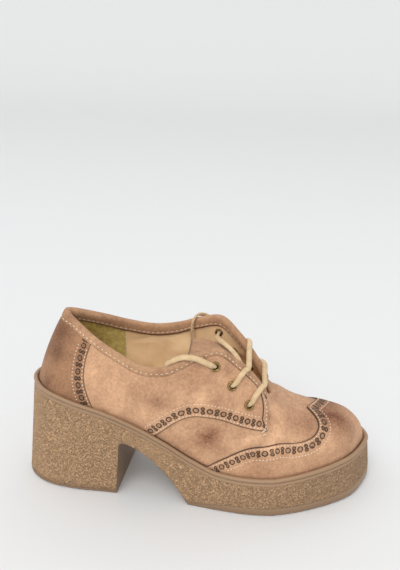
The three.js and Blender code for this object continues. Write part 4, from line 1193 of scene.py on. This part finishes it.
# distance from the seams, scaled by kind, where the material paints the shade along the binding's edges
fromSeam = [(binding["width"] - first) * binding["seamShare"][kind]
            for kind, first, second in bindingProfile]
uv = np.stack([np.repeat(reach, columns), np.tile(fromSeam, rows)], axis=1)
addPiece("collar_binding_fold", points, tubeFaces(rows, columns, flip=True), [bindingSuede],
         uv=np.concatenate([uv, [(0, 3), (reach[-1], 3)]]), nodes=("collar_binding",), weld=0)

# Tongue: an arched strip, suede above and lining below
tongue = {
    "thickness": 2.2, "across": 24,
    "rows": [  # along, height, half width, drop at the sides
        (0.745, 0.35, 0.16, 0.03), (0.705, 0.395, 0.17, 0.045), (0.673, 0.505, 0.175, 0.06),
        (0.633, 0.645, 0.185, 0.07), (0.594, 0.755, 0.19, 0.06), (0.558, 0.82, 0.195, 0.04),
        (0.518, 0.848, 0.195, 0.015), (0.459, 0.85, 0.185, -0.005)],
}
alongs, heights, halves, drops = (
    column * size for column, size in zip(
        np.array(tongue["rows"]).T,
        (shoe["rimLength"], shoe["instep"], shoe["ballWidth"], shoe["instep"])))
line = flowPath(np.stack([alongs, heights, halves], axis=1), 1.5)
drop = np.interp(line[:, 0], alongs[::-1], drops[::-1])
share = np.sin(np.linspace(-1, 1, tongue["across"] + 1) * math.pi / 2)
sheets = []
for depth in (0.0, tongue["thickness"]):
    x = line[:, None, 0] - depth / 2 + 0 * share
    y = line[:, None, 2] * share * (1 - depth / shoe["ballWidth"])
    z = shoe["platform"] + line[:, None, 1] - drop[:, None] * share ** 2 - depth
    sheets.append(np.stack([x, y, z], axis=-1).reshape(-1, 3))
faces = sheetFaces(len(line), len(share))
kinds = np.zeros(len(faces))
sheetSize = (len(line) - 1) * (len(share) - 1)
kinds[sheetSize:2 * sheetSize] = 1
addPiece("tongue_strip", np.concatenate(sheets), faces.tolist(), [tongueSuede, lining], kinds=kinds,
         nodes=("tongue",), weld=0)
print("binding and tongue ready")

# Eyelets: a turned flange and barrel, with the barrel's end split and turned back inside
eyeletProfile = np.array([  # radius, height over the upper's outer face
    (1.9, -2.5), (1.9, 1.2), (2.0, 1.9), (2.3, 2.3), (2.75, 2.4), (3.2, 2.2), (3.5, 1.75), (3.55, 1.3),
    (3.3, 1.25), (2.25, 1.25), (2.25, -2.1), (3.0, -2.2), (3.3, -2.5), (3.0, -2.75), (2.4, -2.8),
])
turn = np.linspace(0, 2 * np.pi, eyelet["sides"], endpoint=False)
radius = np.repeat(eyeletProfile[:, :1], len(turn), axis=1)
prongs = (eyeletProfile[:, 1] < -2) & (eyeletProfile[:, 0] > 2.3)
radius[prongs] -= 0.45 * (0.5 + 0.5 * np.cos(turn * 6))
j = np.arange(len(turn))
ahead, last = (j + 1) % len(turn), (len(eyeletProfile) - 1) * len(turn)
faces = np.concatenate([gridFaces(len(eyeletProfile), len(turn), closed=True, flip=True),
                        np.stack([j, ahead, last + ahead, last + j], axis=1)]).tolist()
for (side, number), centre in eyeletCentre.items():
    axis = eyeletAxis[side, number]
    across = unit(np.cross(axis, (1, 0, 0.2)))
    around = across * np.cos(turn)[:, None] + np.cross(axis, across) * np.sin(turn)[:, None]
    points = centre + axis * eyeletProfile[:, 1, None, None] + around * radius[..., None]
    addPiece(f"eyelet_{side}_{number}_ring", points.reshape(-1, 3), faces, [brass],
             nodes=(f"eyelet_{side}_{number}",), weld=0)
print("eyelets ready")


# Stitches: short domed capsules laid along a path
stitch = {"sides": 6, "radius": 0.3, "wide": 0.36, "sunk": -0.1, "shoulder": 0.38}


def sampled(values, at, reach):
    return np.stack([np.interp(at, reach, values[:, k]) for k in range(3)], axis=1)


def stitchRow(name, path, normals, pitch, length, wide=stitch["wide"]):
    # a point, three six-sided rings and a point for each stitch, set on the path's own directions
    reach = lengthsAlong(path)
    count = int(reach[-1] / pitch)
    at = (np.arange(count) + 0.5) * reach[-1] / count
    centre, normal = sampled(path, at, reach), unit(sampled(normals, at, reach))
    ahead = unit(sampled(np.gradient(path, axis=0), at, reach))
    across = np.cross(normal, ahead)
    sides, radius, shoulder = stitch["sides"], stitch["radius"], length * stitch["shoulder"]
    turn = np.linspace(0, 2 * np.pi, sides, endpoint=False)
    template = [(-length / 2, 0, stitch["sunk"])]
    for along, size in ((-shoulder, 0.7), (0, 1.0), (shoulder, 0.7)):
        template += [(along, wide * size * math.cos(a), radius * size * math.sin(a)) for a in turn]
    template = np.array(template + [(length / 2, 0, stitch["sunk"])])
    points = centre[:, None] + ahead[:, None] * template[:, :1] + across[:, None] * template[:, 1:2] \
        + normal[:, None] * template[:, 2:]
    one = gridFaces(3, sides, closed=True, start=1, flip=True).tolist()
    one += [[0, 1 + j, 1 + (j + 1) % sides] for j in range(sides)]
    one += [[3 * sides + 1, 2 * sides + 1 + (j + 1) % sides, 2 * sides + 1 + j] for j in range(sides)]
    faces = [[k + n * len(template) for k in face] for n in range(count) for face in one]
    return addPiece(name, points.reshape(-1, 3), faces, [thread], weld=0)


def inFrom(place, up, distance, turnSign, steps=4):
    # walks from an edge over the face, at right angles to it, by a distance in millimetres
    place, up = np.array(place, float), np.array(up, float)
    ahead = unit(np.gradient(faceAt(place, up), axis=0))
    inward = unit(np.cross(normalAt(place, up), ahead)) * turnSign
    for _ in range(steps):
        place, up = shifted(place, up, inward * distance / steps)
    return place, up


def stitchAlong(name, place, up, offset, pitch, length, keep=slice(None), **sizes):
    # a row on the outer face, on the stretch of the path that is kept
    stitchRow(name, skin(place, up, offset)[keep], normalAt(place, up)[keep], pitch, length, **sizes)


for side, sign in shoeSides:
    for row, distance in (("lower", 1.7), ("upper", 9.4)):
        place, up = inFrom(sign * quarterEdge[0], quarterEdge[1], distance, sign)
        keep = (up > 0.03) & (np.abs(place) < (11.2 if row == "lower" else 10.9))
        stitchAlong(f"stitches_quarter_{side}_{row}", place, up, panel["offset"], 2.4, 1.2, keep)
    for row, distance in (("front", 1.6), ("back", 9.2)):
        place, up = inFrom(sign * counterEdge[0], counterEdge[1], distance, sign)
        stitchAlong(f"stitches_counter_{side}_{row}", place, up, panel["counterOffset"], 2.4, 1.2,
                    (up > 0.04) & (up < 0.84))
    place, up = quarterFrontAt(np.linspace(0.06, 1, 300))
    place, up = inFrom(sign * place, up, 2.2, sign)
    stitchAlong(f"stitches_facing_{side}", place, up, panel["facingOffset"], 2.6, 1.4)
    for row, distance in (("upper", 1.7), ("lower", 9.4)):
        place, up = inFrom(*capEdges[sign], distance, -sign)
        stitchAlong(f"stitches_cap_{side}_{row}", place, up, panel["offset"], 2.4, 1.2,
                    (up > 0.03) & (up < 0.995))
seamPlace = np.linspace(-11.3, 11.3, 1500)
seamUp = 1 - (foldWidth(seamPlace) - 2.2) / ribLength(seamPlace)
stitchAlong("stitches_binding_outer", seamPlace, seamUp, 1.55, 3.6, 2.0)
seamUp = 1 - 4.8 / ribLength(seamPlace)
stitchRow("stitches_binding_inner", skin(seamPlace, seamUp, -3.5), -normalAt(seamPlace, seamUp), 3.6, 2.0)
# Crossed threads and the pale raw tip at each quarter's point: place and up of both ends, length
pointThreads = [
    (11.05, 0.44, 11.75, 0.52, 3.4), (11.6, 0.47, 11.2, 0.5, 2.4), (11.1, 0.41, 11.66, 0.452, 2.6),
]
for side, sign in shoeSides:
    for number, (place0, up0, place1, up1, length) in enumerate(pointThreads, 1):
        place, up = sign * np.linspace(place0, place1, 12), np.linspace(up0, up1, 12)
        stitchAlong(f"threads_point_{side}_{number}", place, up, 1.5, 2.6, length, wide=0.42)
# Seam along the olive heel piece inside, at one length from the heel
seamLength, seamUps, seamPlaces = 63.8, np.linspace(0.4, 0.9, 60), np.linspace(2.6, 5.2, 60)
for side, sign in shoeSides:
    place = np.array([np.interp(seamLength, faceAt(sign * seamPlaces, up)[:, 0], sign * seamPlaces)
                      for up in seamUps])
    stitchRow(f"stitches_heel_piece_{side}", skin(place, seamUps, -2.05),
              -normalAt(place, seamUps), 2.6, 1.5)
print("stitches ready")

# Pale floor rising into a backdrop, darker towards the back as painted shade, and soft studio light
bend = np.linspace(0.1, math.pi / 2, 14)
floorDepth = np.concatenate([np.linspace(-4, 2.2, 8), 2.2 + 1.6 * np.sin(bend), [3.8]])
floorRise = np.concatenate([np.zeros(8), 1.6 * (1 - np.cos(bend)), [5.0]])
points = [(x, float(y), float(z)) for y, z in zip(floorDepth, floorRise) for x in (-5.0, 5.0)]
mesh = bpy.data.meshes.new("floor")
mesh.from_pydata(points, [], gridFaces(len(floorDepth), 2).tolist())
mesh.polygons.foreach_set("use_smooth", np.ones(len(mesh.polygons), bool))
floor = bpy.data.objects.new("floor", mesh)
scene.collection.objects.link(floor)
made, tree, inputs = newMaterial("paleFloor", 0.75, **{"Specular IOR Level": 0.3})
# painted shade: darker with depth, against the stronger light on the upright backdrop
distance = ramp(tree, split(tree, objectPoint(tree))[1], 0.0, 2.0)
floorShadedTone = mixColour(tree, distance, (0.76, 0.765, 0.765, 1), (0.66, 0.665, 0.665, 1))
plug(tree, floorShadedTone, inputs["Base Color"])
mesh.materials.append(made)


def addLight(name, source, angle, strength, colour):
    # soft light from a direction
    made = bpy.data.lights.new(name, "SUN")
    made.angle, made.energy, made.color = math.radians(angle), strength, colour
    lamp = bpy.data.objects.new(name, made)
    aim = unit(np.array(source, float))
    side = unit(np.cross((0, 0, 1), aim))
    lamp.matrix_world = Matrix(np.stack([side, np.cross(aim, side), aim], axis=1).tolist()).to_4x4()
    scene.collection.objects.link(lamp)


addLight("window", (-0.2, -1.0, 1.15), 40, 1.35, (1.0, 0.985, 0.96))
addLight("room", (-0.5, 0.3, 1.0), 90, 0.4, (1.0, 1.0, 0.99))
addLight("behind", (0.2, 1.0, 0.7), 50, 0.8, (1.0, 1.0, 1.0))
world = bpy.data.worlds.new("room")
scene.world = world
world.use_nodes = True
sky = world.node_tree.nodes["Background"].inputs
sky["Color"].default_value = (0.97, 0.98, 1.0, 1)
sky["Strength"].default_value = 0.75
scene.view_settings.view_transform = "Standard"
print("floor and light ready")
